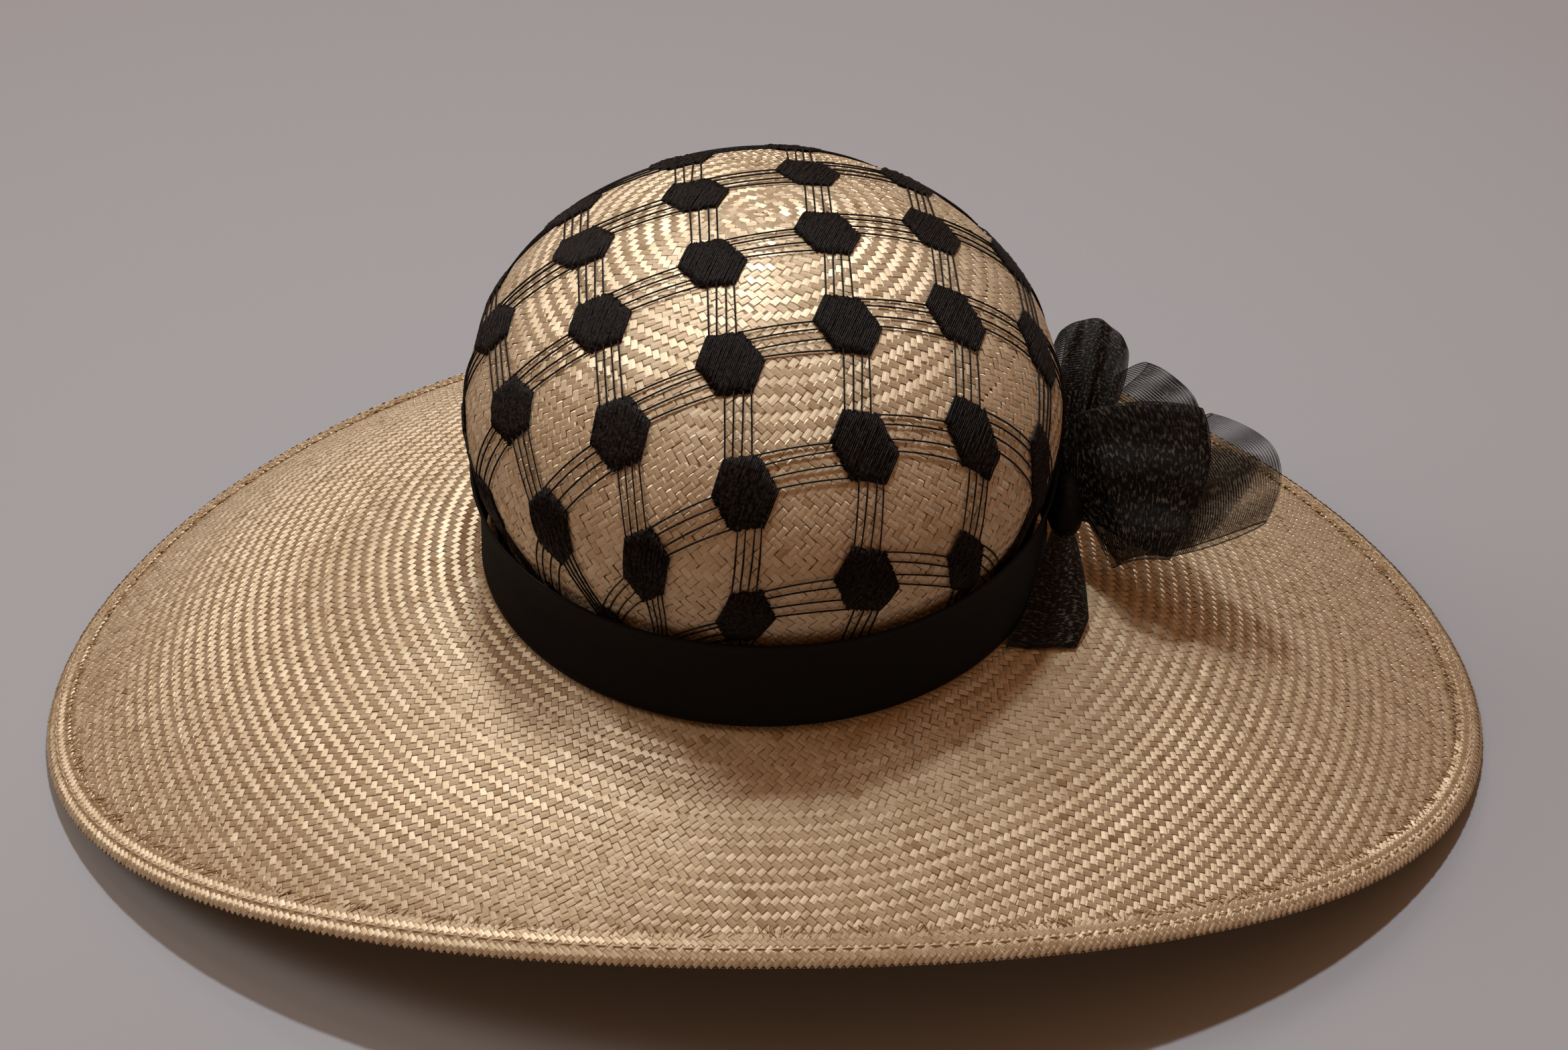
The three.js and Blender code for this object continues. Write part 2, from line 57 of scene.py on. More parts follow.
FILL_PLACE = (-1.7, -0.1, 1.6)
FILL_SIZE = 0.9
FILL_POWER = 13
FILL_COLOUR = (1.0, 0.93, 0.85)
ROOM_COLOUR = (1.0, 0.49, 0.24, 1)
ROOM_STRENGTH = 0.27
VIEW_ELEVATION = math.radians(34)
VIEW_DISTANCE = 1.431
VIEW_TARGET = (0.0063, -0.0077, 0.0754)
VIEW_RAISE = 0.0036
LENS = 102.7
SENSOR = 36


def new_material(name):
    """A new material, its node tree and its shader."""
    material = bpy.data.materials.new(name)
    material.use_nodes = True
    return material, material.node_tree, material.node_tree.nodes["Principled BSDF"]


bpy.ops.object.select_all(action="DESELECT")
bpy.ops.mesh.primitive_plane_add(size=FLOOR_SIZE)
floor = bpy.context.active_object
floor.name = "floor"
floor_paint, _, floor_shader = new_material("floor_paint")
floor_shader.inputs["Base Color"].default_value = FLOOR_COLOUR
floor_shader.inputs["Roughness"].default_value = FLOOR_ROUGHNESS
floor.data.materials.append(floor_paint)


def soft_light(name, place, size, power, colour):
    """A square soft light that faces the hat's crown."""
    lamp = bpy.data.lights.new(name, "AREA")
    lamp.size = size
    lamp.energy = power
    lamp.color = colour
    light = bpy.data.objects.new(name, lamp)
    bpy.context.scene.collection.objects.link(light)
    away = np.array(place) - np.array(VIEW_TARGET)
    flat = math.hypot(away[0], away[1])
    light.location = place
    light.rotation_euler = (math.atan2(flat, away[2]), 0, math.atan2(away[1], away[0]) + math.pi / 2)
    return light


soft_light("lamp", LAMP_PLACE, LAMP_SIZE, LAMP_POWER, LAMP_COLOUR).visible_glossy = False
for name, (place, power) in GLINTS.items():
    soft_light(name, place, GLINT_SIZE, power, LAMP_COLOUR).visible_diffuse = False
soft_light("fill", FILL_PLACE, FILL_SIZE, FILL_POWER, FILL_COLOUR).visible_glossy = False
room = bpy.data.worlds.new("room")
room.use_nodes = True
room.node_tree.nodes["Background"].inputs["Color"].default_value = ROOM_COLOUR
room.node_tree.nodes["Background"].inputs["Strength"].default_value = ROOM_STRENGTH
bpy.context.scene.world = room
bpy.context.scene.view_settings.view_transform = "Standard"

camera = bpy.data.objects.new("camera", bpy.data.cameras.new("camera"))
camera.data.lens = LENS
camera.data.sensor_width = SENSOR
camera.location = (
    VIEW_TARGET[0],
    VIEW_TARGET[1] - VIEW_DISTANCE * math.cos(VIEW_ELEVATION) + VIEW_RAISE * math.sin(VIEW_ELEVATION),
    VIEW_TARGET[2] + VIEW_DISTANCE * math.sin(VIEW_ELEVATION) + VIEW_RAISE * math.cos(VIEW_ELEVATION),
)
camera.rotation_euler = (math.pi / 2 - VIEW_ELEVATION, 0, 0)
bpy.context.scene.collection.objects.link(camera)
bpy.context.scene.camera = camera

# The crown: a dome of straw cloth, oval in plan, blocked so that it bulges a little above the
# band. Its straw is woven in rings from the tip down, in a herringbone of silky flat strands.
HEAD_RADIUS = 0.092
OVAL = (0.933, 1.067)
AXIS_Y = -0.0077
FOOT_HEIGHT = 0.0754
CROWN_HEIGHT = 0.1193
BULGE_RADIUS = 0.1
BULGE_HEIGHT = 0.051
STRAIGHT_HEIGHT = 0.016
SHELL_DEPTH = 0.0006
SHELL_WALL = 0.0007
SHELL_SIDES = 96
PROFILE_STEPS = 160
CROWN_PITCH = 0.0031
CROWN_ROW = 0.0028
CROWN_FIRST_ROW = 0.0016
CROWN_WOVEN_DOWN_TO = 0.022
CROWN_FOOT_GAP = 0.001
SHELL_LOW_RINGS = (0.01, 0.02, 0.028, 0.036, 0.044)
SHELL_DOME_RINGS = 22
SHELL_TIP = 0.004
SLIP = 0.0005
STRAW_STREAKS = (1.2, 11, 1)
STRAW_COLOURS = {0.0: (0.30, 0.19, 0.09), 0.18: (0.50, 0.37, 0.22), 1.0: (0.715, 0.585, 0.405)}


def crown_profile():
    """Distance from the tip, mean radius and height along the crown's outside, tip to foot."""
    angle = math.pi / 2 * (1 - np.arange(PROFILE_STEPS + 1) / PROFILE_STEPS)
    low = BULGE_HEIGHT * (1 - np.arange(1, PROFILE_STEPS + 1) / PROFILE_STEPS)
    part = np.clip((low - STRAIGHT_HEIGHT) / (BULGE_HEIGHT - STRAIGHT_HEIGHT), 0, None)
    swell = (1 - np.cos(math.pi * part)) / 2
    radius = np.r_[BULGE_RADIUS * np.cos(angle), HEAD_RADIUS + (BULGE_RADIUS - HEAD_RADIUS) * swell]
    height = np.r_[BULGE_HEIGHT + (CROWN_HEIGHT - BULGE_HEIGHT) * np.sin(angle), low]
    travel = np.r_[0, np.cumsum(np.hypot(np.diff(radius), np.diff(height)))]
    return travel, radius, height


PROFILE = crown_profile()
CROWN_REACH = PROFILE[0][-1]


def profile_at(travel):
    """Radius and height at a distance from the tip, straight down below the crown's foot."""
    radius = np.interp(travel, PROFILE[0], PROFILE[1])
    height = np.interp(travel, PROFILE[0], PROFILE[2]) - np.maximum(travel - CROWN_REACH, 0)
    return radius, height


def on_crown(travel, turn, lift):
    """Points on the crown at a distance from the tip and a turn round it, lifted off its outside."""
    radius, height = profile_at(travel)
    radius_before, height_before = profile_at(np.maximum(travel - SLIP, 0))
    radius_after, height_after = profile_at(travel + SLIP)
    fall = np.hypot(radius_after - radius_before, height_after - height_before)
    out = radius + lift * (height_before - height_after) / fall
    up = height + lift * (radius_after - radius_before) / fall
    across = out * OVAL[0] * np.cos(turn)
    deep = AXIS_Y + out * OVAL[1] * np.sin(turn)
    return np.stack([across, deep, FOOT_HEIGHT + up + 0 * turn], -1)


def travel_to(height):
    """Distance from the tip down to a height above the crown's foot."""
    return float(np.interp(-height, -PROFILE[2], PROFILE[0]))


def unit(vectors):
    """The same directions at length 1."""
    return vectors / np.linalg.norm(vectors, axis=-1, keepdims=True)


def mesh_piece(name, points, faces, material, smooth=True):
    """A piece from arrays of points and faces, with its place in its mesh."""
    mesh = bpy.data.meshes.new(name)
    mesh.from_pydata(points, [], faces)
    if smooth:
        mesh.shade_smooth()
    else:
        mesh.shade_flat()
    mesh.materials.append(material)
    piece = bpy.data.objects.new(name, mesh)
    bpy.context.scene.collection.objects.link(piece)
    return piece


def laid_sheet(name, columns, rows, place, closed=False):
    """A flat grid laid on its real form: place(u, v) gives the points, and closed joins its two ends."""
    bpy.ops.object.select_all(action="DESELECT")
    bpy.ops.mesh.primitive_grid_add(x_subdivisions=columns, y_subdivisions=rows, size=1)
    piece = bpy.context.active_object
    piece.name = piece.data.name = name
    flat = np.empty(len(piece.data.vertices) * 3)
    piece.data.vertices.foreach_get("co", flat)
    flat = flat.reshape(-1, 3) + 0.5
    piece.data.vertices.foreach_set("co", place(flat[:, 0], flat[:, 1]).ravel())
    if closed:
        bpy.ops.object.mode_set(mode="EDIT")
        bpy.ops.mesh.select_all(action="SELECT")
        bpy.ops.mesh.remove_doubles(threshold=1e-6)
        bpy.ops.object.mode_set(mode="OBJECT")
    bpy.ops.object.shade_smooth()
    return piece


def thicken(piece, wall, offset=0):
    """Gives a sheet its wall: offset -1 grows it inwards, 0 both ways and 1 outwards."""
    bpy.context.view_layer.objects.active = piece
    solidify = piece.modifiers.new("wall", "SOLIDIFY")
    solidify.thickness = wall
    solidify.offset = offset
    bpy.ops.object.modifier_apply(modifier=solidify.name)


def uneven_tone_group():
    """Fine uneven tone over a place or a map, drawn out by Stretch, for straw, thread and cloth alike."""
    group = bpy.data.node_groups.new("uneven_tone", "ShaderNodeTree")
    for name in ("Place", "Stretch"):
        group.interface.new_socket(name, in_out="INPUT", socket_type="NodeSocketVector")
    for name in ("Scale", "Detail"):
        group.interface.new_socket(name, in_out="INPUT", socket_type="NodeSocketFloat")
    group.interface.new_socket("Tone", in_out="OUTPUT", socket_type="NodeSocketFloat")
    given = group.nodes.new("NodeGroupInput")
    stretch = group.nodes.new("ShaderNodeMapping")
    noise = group.nodes.new("ShaderNodeTexNoise")
    result = group.nodes.new("NodeGroupOutput")
    group.links.new(given.outputs["Place"], stretch.inputs["Vector"])
    group.links.new(given.outputs["Stretch"], stretch.inputs["Scale"])
    group.links.new(stretch.outputs["Vector"], noise.inputs["Vector"])
    group.links.new(given.outputs["Scale"], noise.inputs["Scale"])
    group.links.new(given.outputs["Detail"], noise.inputs["Detail"])
    group.links.new(noise.outputs["Fac"], result.inputs["Tone"])
    return group


uneven_tone = uneven_tone_group()


def tone_over(tree, place, scale, stretch=(1, 1, 1), detail=2):
    """Places the uneven tone in a material, over a socket that gives the place."""
    node = tree.nodes.new("ShaderNodeGroup")
    node.node_tree = uneven_tone
    node.inputs["Stretch"].default_value = stretch
    node.inputs["Scale"].default_value = scale
    node.inputs["Detail"].default_value = detail
    tree.links.new(place, node.inputs["Place"])
    return node.outputs["Tone"]


def straw_material(name):
    """Flat silky straw: each strand has its own tone, with fine fibres along it and a shine across."""
    material, tree, shader = new_material(name)
    tone = tree.nodes.new("ShaderNodeAttribute")
    tone.attribute_name = "tone"
    ramp = tree.nodes.new("ShaderNodeValToRGB")
    ramp.color_ramp.elements.remove(ramp.color_ramp.elements[1])
    for place, colour in STRAW_COLOURS.items():
        stop = ramp.color_ramp.elements[0] if place == 0 else ramp.color_ramp.elements.new(place)
        stop.color = (*colour, 1)
    coordinates = tree.nodes.new("ShaderNodeUVMap")
    coordinates.uv_map = "fibre"
    streaks = tone_over(tree, coordinates.outputs["UV"], 1, STRAW_STREAKS, detail=3)
    shade = tree.nodes.new("ShaderNodeMixRGB")
    shade.blend_type = "OVERLAY"
    shade.inputs["Fac"].default_value = 0.35
    bump = tree.nodes.new("ShaderNodeBump")
    bump.inputs["Strength"].default_value = 0.5
    bump.inputs["Distance"].default_value = 0.0003
    gloss = tree.nodes.new("ShaderNodeMapRange")
    gloss.inputs["To Min"].default_value = 0.38
    gloss.inputs["To Max"].default_value = 0.6
    tangent = tree.nodes.new("ShaderNodeTangent")
    tangent.direction_type = "UV_MAP"
    tangent.uv_map = "fibre"
    links = tree.links
    links.new(tone.outputs["Fac"], ramp.inputs["Fac"])
    links.new(ramp.outputs["Color"], shade.inputs["Color1"])
    links.new(streaks, shade.inputs["Color2"])
    links.new(streaks, bump.inputs["Height"])
    links.new(streaks, gloss.inputs["Value"])
    links.new(shade.outputs["Color"], shader.inputs["Base Color"])
    links.new(gloss.outputs["Result"], shader.inputs["Roughness"])
    links.new(bump.outputs["Normal"], shader.inputs["Normal"])
    links.new(tangent.outputs["Tangent"], shader.inputs["Tangent"])
    shader.inputs["Metallic"].default_value = 0.42
    shader.inputs["Anisotropic"].default_value = 0.95
    shader.inputs["Anisotropic Rotation"].default_value = 0.25
    return material


def backing_material(name):
    """The straw cloth's ground between the floats: dull, a little darker and mottled."""
    material, tree, shader = new_material(name)
    place = tree.nodes.new("ShaderNodeTexCoord")
    mottle = tone_over(tree, place.outputs["Object"], 600)
    mix = tree.nodes.new("ShaderNodeMixRGB")
    mix.inputs["Color1"].default_value = (0.26, 0.17, 0.085, 1)
    mix.inputs["Color2"].default_value = (0.56, 0.42, 0.26, 1)
    tree.links.new(mottle, mix.inputs["Fac"])
    tree.links.new(mix.outputs["Color"], shader.inputs["Base Color"])
    shader.inputs["Roughness"].default_value = 0.75
    return material


# Each strand shows as a short float, which rises over its neighbours and tucks under at both ends.
FLOAT_ALONG = np.array([-1.0, -0.74, 0.74, 1.0])
FLOAT_RISE = np.array([-0.00022, 0.00007, 0.00007, -0.00022])
FLOAT_ACROSS = np.array([-1.0, 0.0, 1.0])
FLOAT_ROUND = np.array([-0.0001, 0.00005, -0.0001])
FLOAT_SLANT = math.radians(45)
FLOAT_OVERLAP = 1.1
FLOAT_FILL = 0.97
GIRTH_SLACK = 1.09
GROWING_ROW_COVER = 1.05
START_COUNT_SHARE = 0.97
FEWEST_FLOATS = 5
STRAY_ALONG = 0.05
STRAY_OUT = 0.04
STRAY_LEAN = 0.035
STRAY_LIFT = 0.00006
LENGTH_SPREAD = (0.94, 1.06)
WIDTH_SPREAD = (0.9, 1.06)
STRAND_TONE = 0.72
STRAND_TONE_SPREAD = 0.16
STRAND_TONE_LEAST = 0.16
DARK_STRANDS = 0.03
DARK_STRAND_TONE = 0.3
FIBRE_SHIFTS = 40
MAP_MARGIN = 0.06
MAP_FILL = 0.88
TURN_STEPS = 1440
TURN_SLIP = 1e-4


def woven(name, place, rows, row_width, pitch, lift, material, seed, side=1, shown=None, painted_shade=0.0):
    """Straw floats in rings: place(distance, turn, lift) gives points, rows the rings' distances.

    Neighbouring rings lean opposite ways and keep one count of floats while their girth allows it,
    so that the end of one float meets the side of the next. shown(distance, turn) leaves out what
    another piece covers, and the last argument darkens all its straw evenly: painted shade.
    """
    draw = np.random.default_rng(seed)
    turns = np.linspace(0, 2 * math.pi, TURN_STEPS + 1)
    count = 0
    centres, fibres, acrosses, normals, lengths, widths = [], [], [], [], [], []
    for number, distance in enumerate(rows):
        ring = place(np.full(turns.shape, distance), turns, 0)
        girth = np.r_[0, np.cumsum(np.linalg.norm(np.diff(ring, axis=0), axis=1))]
        before = count
        if not count or not pitch / GIRTH_SLACK < girth[-1] / count < pitch * GIRTH_SLACK:
            count = max(FEWEST_FLOATS, round(girth[-1] / pitch * GIRTH_SLACK * START_COUNT_SHARE))
        cover = 1 if count == before else GROWING_ROW_COVER
        stray = draw.uniform(-STRAY_ALONG, STRAY_ALONG, count)
        spread = (np.arange(count) + number % 2 / 2 + stray) / count
        turn = np.interp(spread % 1 * girth[-1], girth, turns)
        if shown is not None:
            turn = turn[shown(distance, turn)]
        if not len(turn):
            continue
        far = np.full(turn.shape, distance) + draw.uniform(-STRAY_OUT, STRAY_OUT, len(turn)) * row_width
        along = unit(place(far, turn + TURN_SLIP, 0) - place(far, turn - TURN_SLIP, 0))
        out = place(far + TURN_SLIP, turn, 0) - place(far - TURN_SLIP, turn, 0)
        out = unit(out - along * (out * along).sum(1, keepdims=True))
        lean = FLOAT_SLANT + draw.normal(0, STRAY_LEAN, len(turn))
        sign = 1 if number % 2 else -1
        fibre = along * (sign * np.cos(lean))[:, None] + out * np.sin(lean)[:, None]
        normal = np.cross(along, out)
        centre = place(far, turn, 0)
        outwards = place(far, turn, 0.001) - centre
        normal *= np.sign((normal * outwards).sum(1, keepdims=True)) * side
        centres.append(centre + normal * (lift + draw.uniform(-STRAY_LIFT, STRAY_LIFT, (len(turn), 1))))
        fibres.append(fibre)
        acrosses.append(np.cross(normal, fibre))
        normals.append(normal)
        longer = draw.uniform(*LENGTH_SPREAD, len(turn))
        wider = draw.uniform(*WIDTH_SPREAD, len(turn))
        lengths.append(row_width / math.sin(FLOAT_SLANT) * FLOAT_OVERLAP * cover * longer)
        widths.append(girth[-1] / count * math.sin(FLOAT_SLANT) * FLOAT_FILL * cover * wider)
    centres, fibres, acrosses, normals = map(np.concatenate, (centres, fibres, acrosses, normals))
    lengths, widths = np.concatenate(lengths), np.concatenate(widths)
    total = len(centres)
    grid_along, grid_across = (g.ravel() for g in np.meshgrid(FLOAT_ALONG, FLOAT_ACROSS, indexing="ij"))
    grid_rise = (FLOAT_RISE[:, None] + FLOAT_ROUND[None, :]).ravel()
    points = (
        centres[:, None]
        + fibres[:, None] * (lengths[:, None] / 2 * grid_along)[..., None]
        + acrosses[:, None] * (widths[:, None] / 2 * grid_across)[..., None]
        + normals[:, None] * grid_rise[None, :, None]
    ).reshape(-1, 3)
    columns = len(FLOAT_ACROSS)
    first = np.array(
        [
            [i * columns + j, (i + 1) * columns + j, (i + 1) * columns + j + 1, i * columns + j + 1]
            for i in range(len(FLOAT_ALONG) - 1)
            for j in range(columns - 1)
        ]
    )
    corners = len(grid_along)
    faces = (first[None] + corners * np.arange(total)[:, None, None]).reshape(-1, 4)
    piece = mesh_piece(name, points, faces, material, smooth=False)
    # The last argument paints a piece's straw darker here: painted shade for a piece that takes less
    # light than the crown.
    tone = np.clip(draw.normal(STRAND_TONE - painted_shade, STRAND_TONE_SPREAD, total), STRAND_TONE_LEAST, 1)
    tone[draw.random(total) < DARK_STRANDS] *= DARK_STRAND_TONE
    tones = piece.data.attributes.new("tone", "FLOAT", "POINT")
    tones.data.foreach_set("value", np.repeat(tone, corners))
    local = np.stack([(grid_along + 1) / 2, (grid_across + 1) / 2], -1)
    shift = draw.uniform(0, FIBRE_SHIFTS, (total, 1, 2)).round(1)
    cells = math.ceil(math.sqrt(total))
    cell = np.stack([np.arange(total) % cells, np.arange(total) // cells], -1)[:, None]
    own_cell = (cell + MAP_MARGIN + MAP_FILL * local) / cells
    for map_name, uv in (("OFBake", own_cell), ("fibre", local + shift)):
        layer = piece.data.uv_layers.new(name=map_name)
        layer.data.foreach_set("uv", uv.reshape(-1, 2)[faces.ravel()].ravel())
    return piece


straw = straw_material("straw")
straw_backing = backing_material("straw_backing")

bpy.ops.object.select_all(action="DESELECT")
bpy.ops.mesh.primitive_circle_add(
    vertices=SHELL_SIDES, radius=HEAD_RADIUS - SHELL_DEPTH, location=(0, AXIS_Y, FOOT_HEIGHT)
)
crown_shell = bpy.context.active_object
crown_shell.name = crown_shell.data.name = "crown_shell"
bpy.ops.object.mode_set(mode="EDIT")
bpy.ops.mesh.select_all(action="SELECT")
ring_travels = [travel_to(height) for height in SHELL_LOW_RINGS]
ring_travels += list(np.linspace(travel_to(BULGE_HEIGHT), SHELL_TIP, SHELL_DOME_RINGS))
last_radius, last_height = HEAD_RADIUS, 0.0
for ring_travel in ring_travels:
    ring_radius, ring_height = (float(value) for value in profile_at(ring_travel))
    bpy.ops.mesh.extrude_region_move(TRANSFORM_OT_translate={"value": (0, 0, ring_height - last_height)})
    shrink = (ring_radius - SHELL_DEPTH) / (last_radius - SHELL_DEPTH)
    bpy.ops.transform.resize(value=(shrink, shrink, 1), center_override=(0, AXIS_Y, 0))
    last_radius, last_height = ring_radius, ring_height
bpy.ops.mesh.extrude_region_move(
    TRANSFORM_OT_translate={"value": (0, 0, CROWN_HEIGHT - SHELL_DEPTH - last_height)}
)
bpy.ops.mesh.merge(type="CENTER")
bpy.ops.mesh.select_all(action="SELECT")
bpy.ops.transform.resize(value=(OVAL[0], OVAL[1], 1), center_override=(0, AXIS_Y, 0))
bpy.ops.mesh.normals_make_consistent(inside=False)
bpy.ops.object.mode_set(mode="OBJECT")
bpy.ops.object.transform_apply(location=True, rotation=True, scale=True)
thicken(crown_shell, SHELL_WALL, -1)
bpy.ops.object.shade_smooth()
crown_shell.data.materials.append(straw_backing)
crown_rows = np.arange(CROWN_FIRST_ROW, travel_to(CROWN_WOVEN_DOWN_TO), CROWN_ROW)
crown_weave = woven("crown_weave", on_crown, crown_rows, CROWN_ROW, CROWN_PITCH, 0.0, straw, 1)
inside_rows = np.arange(CROWN_FIRST_ROW, CROWN_REACH - CROWN_FOOT_GAP, CROWN_ROW)
inside_lift = SHELL_DEPTH + SHELL_WALL
crown_weave_inside = woven(
    "crown_weave_inside", on_crown, inside_rows, CROWN_ROW, CROWN_PITCH, inside_lift, straw, 2, side=-1
)
for piece in (crown_shell, crown_weave, crown_weave_inside):
    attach(piece, "root")
    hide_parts("crown")

# The brim: a wide oval of the same straw cloth, woven on in rings from the head line, which lies
# near flat at the front and falls low at both sides. A short collar of it stands inside the crown.
BRIM_HALF = (0.235, 0.1825)
BRIM_WALL = 0.0016
SEAT_GAP = 0.0003
BRIM_LEVEL = FOOT_HEIGHT - SEAT_GAP - BRIM_WALL / 2
# How the brim falls on each side: its slope at the head line, and its whole drop at the edge.
FRONT_FALL = (math.tan(math.radians(17)), 0.0325)
BACK_FALL = (math.tan(math.radians(16)), 0.039)
LEFT_FALL = (math.tan(math.radians(6)), 0.0735)
RIGHT_FALL = (math.tan(math.radians(19)), 0.0735)
COLLAR_SETBACK = 0.0026
COLLAR_HEIGHT = 0.012
BRIM_BASE_WALL = 0.0006
BRIM_COLUMNS = 240
BRIM_RINGS = 20
BRIM_ROW = 0.00236
BRIM_PITCH = 0.0029
BRIM_FLOAT_LIFT = 0.00062
BRIM_FIRST_ROW = 0.0012
# How much darker the brim's straw is painted than the crown's: painted shade for the less light it takes.
BRIM_PAINTED_SHADE = 0.2
BRIM_BASE_SHARE = 0.985
COLLAR_ROWS = 2
SOLVE_BRIM_ROUNDS = 6
HEM_WIDTH = 0.010
HEM_COVERED = 0.001


def brim_way(turn):
    """Head line and way out in plan, width, first slope and bend of the brim at turns round the head."""
    cos, sin = np.cos(turn), np.sin(turn)
    head = np.stack([HEAD_RADIUS * OVAL[0] * cos, AXIS_Y + HEAD_RADIUS * OVAL[1] * sin], -1)
    edge = np.stack([BRIM_HALF[0] * cos, BRIM_HALF[1] * sin], -1)
    width = np.linalg.norm(edge - head, axis=-1)
    slope_side, drop_side = (np.where(cos < 0, *falls) for falls in zip(LEFT_FALL, RIGHT_FALL))
    slope_end, drop_end = (np.where(sin < 0, *falls) for falls in zip(FRONT_FALL, BACK_FALL))
    slope = slope_end + (slope_side - slope_end) * cos**2
    drop = drop_end + (drop_side - drop_end) * cos**2
    return head, (edge - head) / width[..., None], width, slope, (drop - slope * width) / width**2


def along_brim(out, slope, bend):
    """Length along the falling brim out to a distance in plan."""
    low, high = slope, slope + 2 * bend * out
    whole = high * np.hypot(1, high) + np.arcsinh(high)
    return (whole - low * np.hypot(1, low) - np.arcsinh(low)) / (4 * bend)


def brim_length(turn):
    """Length along the brim from the head line to its edge."""
    _, _, width, slope, bend = brim_way(turn)
    return along_brim(width, slope, bend)


def on_brim(distance, turn, lift):
    """Points on the brim's middle level at a distance along it from the head line, lifted off it."""
    head, away, _, slope, bend = brim_way(turn)
    out = distance + 0 * turn
    for _ in range(SOLVE_BRIM_ROUNDS):
        out = out - (along_brim(out, slope, bend) - distance) / np.hypot(1, slope + 2 * bend * out)
    steep = slope + 2 * bend * out
    plan = out + lift * steep / np.hypot(1, steep)
    height = BRIM_LEVEL - slope * out - bend * out**2 + lift / np.hypot(1, steep)
    return np.concatenate([head + away * plan[..., None], height[..., None]], -1)


def brim_base_place(u, v):
    """The first two rows of the grid stand up as the collar, and the others run out to the hem."""
    row = np.rint(v * BRIM_RINGS)
    turn = -2 * math.pi * u
    rings_out = np.clip(row - COLLAR_ROWS, 0, None)
    distance = brim_length(turn) * rings_out / (BRIM_RINGS - COLLAR_ROWS) * BRIM_BASE_SHARE
    points = on_brim(distance, turn, 0)
    collar = on_brim(np.full(u.shape, -COLLAR_SETBACK), turn, 0)
    collar[:, 2] = np.where(row == 0, FOOT_HEIGHT + COLLAR_HEIGHT, BRIM_LEVEL)
    return np.where((row < COLLAR_ROWS)[:, None], collar, points)


def inside_hem(distance, turn):
    """Where the brim's own rings show, clear of the hem that is folded over them."""
    return distance < brim_length(turn) - HEM_WIDTH + HEM_COVERED


brim_base = laid_sheet("brim_base", BRIM_COLUMNS, BRIM_RINGS, brim_base_place, closed=True)
thicken(brim_base, BRIM_BASE_WALL)
brim_base.data.materials.append(straw_backing)
brim_rows = np.arange(BRIM_FIRST_ROW, brim_length(np.array([0.0, math.pi])).max(), BRIM_ROW)
brim_weave, brim_weave_under = (
    woven(
        name, on_brim, brim_rows, BRIM_ROW, BRIM_PITCH, BRIM_FLOAT_LIFT, straw, seed,
        side=side, shown=inside_hem, painted_shade=BRIM_PAINTED_SHADE,
    )
    for name, seed, side in (("brim_weave", 3, 1), ("brim_weave_under", 4, -1))
)

# The hem: the brim's edge folded up and back over its top for a finger's width, in a tighter weave,
# and sewn down with one line of long pale stitches. Frayed straw ends show at its cut edge.
HEM_TOP = 0.0018
HEM_UNDER = -0.0006
HEM_ROUND = (HEM_TOP - HEM_UNDER) / 2
HEM_FLAT = HEM_WIDTH - HEM_ROUND
HEM_REACH = 2 * HEM_FLAT + math.pi * HEM_ROUND
HEM_EDGE = 0.0035
HEM_EDGE_DROP = 0.0006
HEM_STEPS = 18
HEM_BASE_WALL = 0.0004
HEM_FIRST_ROW = 0.001
HEM_ROW = 0.0021
HEM_PITCH = 0.0024
HEM_FLOAT_LIFT = 0.0001
# How much darker the hem's straw is painted than the crown's: painted shade, as on the brim.
HEM_PAINTED_SHADE = 0.25
STITCH = 0.0052
STITCH_SHARE = 0.84
STITCH_RADIUS = 0.00026
STITCH_PLACE = 0.0049
STITCH_RISE = np.array([-0.0003, 0.00045, 0.00055, 0.00045, -0.0003])
FRAYS = 1100
FRAY_STEPS = 4
FRAY_RADIUS = 0.0002
FRAY_ROOT = 0.0012
FRAY_LENGTHS = (0.001, 0.0046)
FRAY_STRAY = 0.011
FRAY_DROP = (0.0004, 0.0009)
FRAY_LEVELS = (-0.0002, 0.0004)
OFF_EVERY_THREAD = (0.31, 0.17, 0.94)


def on_hem(distance, turn, lift):
    """Points on the hem at a distance from its cut edge, over its top, round the fold and back below."""
    angle = np.clip((distance - HEM_FLAT) / HEM_ROUND, 0, math.pi)
    back = np.maximum(distance - HEM_FLAT - math.pi * HEM_ROUND, 0)
    out = np.minimum(distance, HEM_FLAT) + (HEM_ROUND + lift) * np.sin(angle) - back - HEM_WIDTH
    level = HEM_UNDER + HEM_ROUND + (HEM_ROUND + lift) * np.cos(angle)
    level = level - HEM_EDGE_DROP * np.clip(1 - distance / HEM_EDGE, 0, 1)
    return on_brim(brim_length(turn) + out, turn, level)


def threads(name, paths, radius, material):
    """Round threads along paths, an array of thread by step by point, each with four sides."""
    count, steps = paths.shape[:2]
    way = unit(np.gradient(paths, axis=1))
    side = unit(np.cross(way, OFF_EVERY_THREAD))
    up = np.cross(side, way)
    rings = np.stack([paths + radius * direction for direction in (side, up, -side, -up)], 2)
    step = np.arange(steps - 1)[:, None, None] * 4
    corner = np.arange(4)[None, :, None]
    after = (corner + 1) % 4
    wall = np.concatenate([step + corner, step + after, step + 4 + after, step + 4 + corner], -1)
    ends = np.array([[3, 2, 1, 0], [0, 1, 2, 3] + np.full(4, 4 * (steps - 1))])
    one = np.concatenate([wall.reshape(-1, 4), ends])
    faces = (one[None] + 4 * steps * np.arange(count)[:, None, None]).reshape(-1, 4)
    return mesh_piece(name, rings.reshape(-1, 3), faces, material)


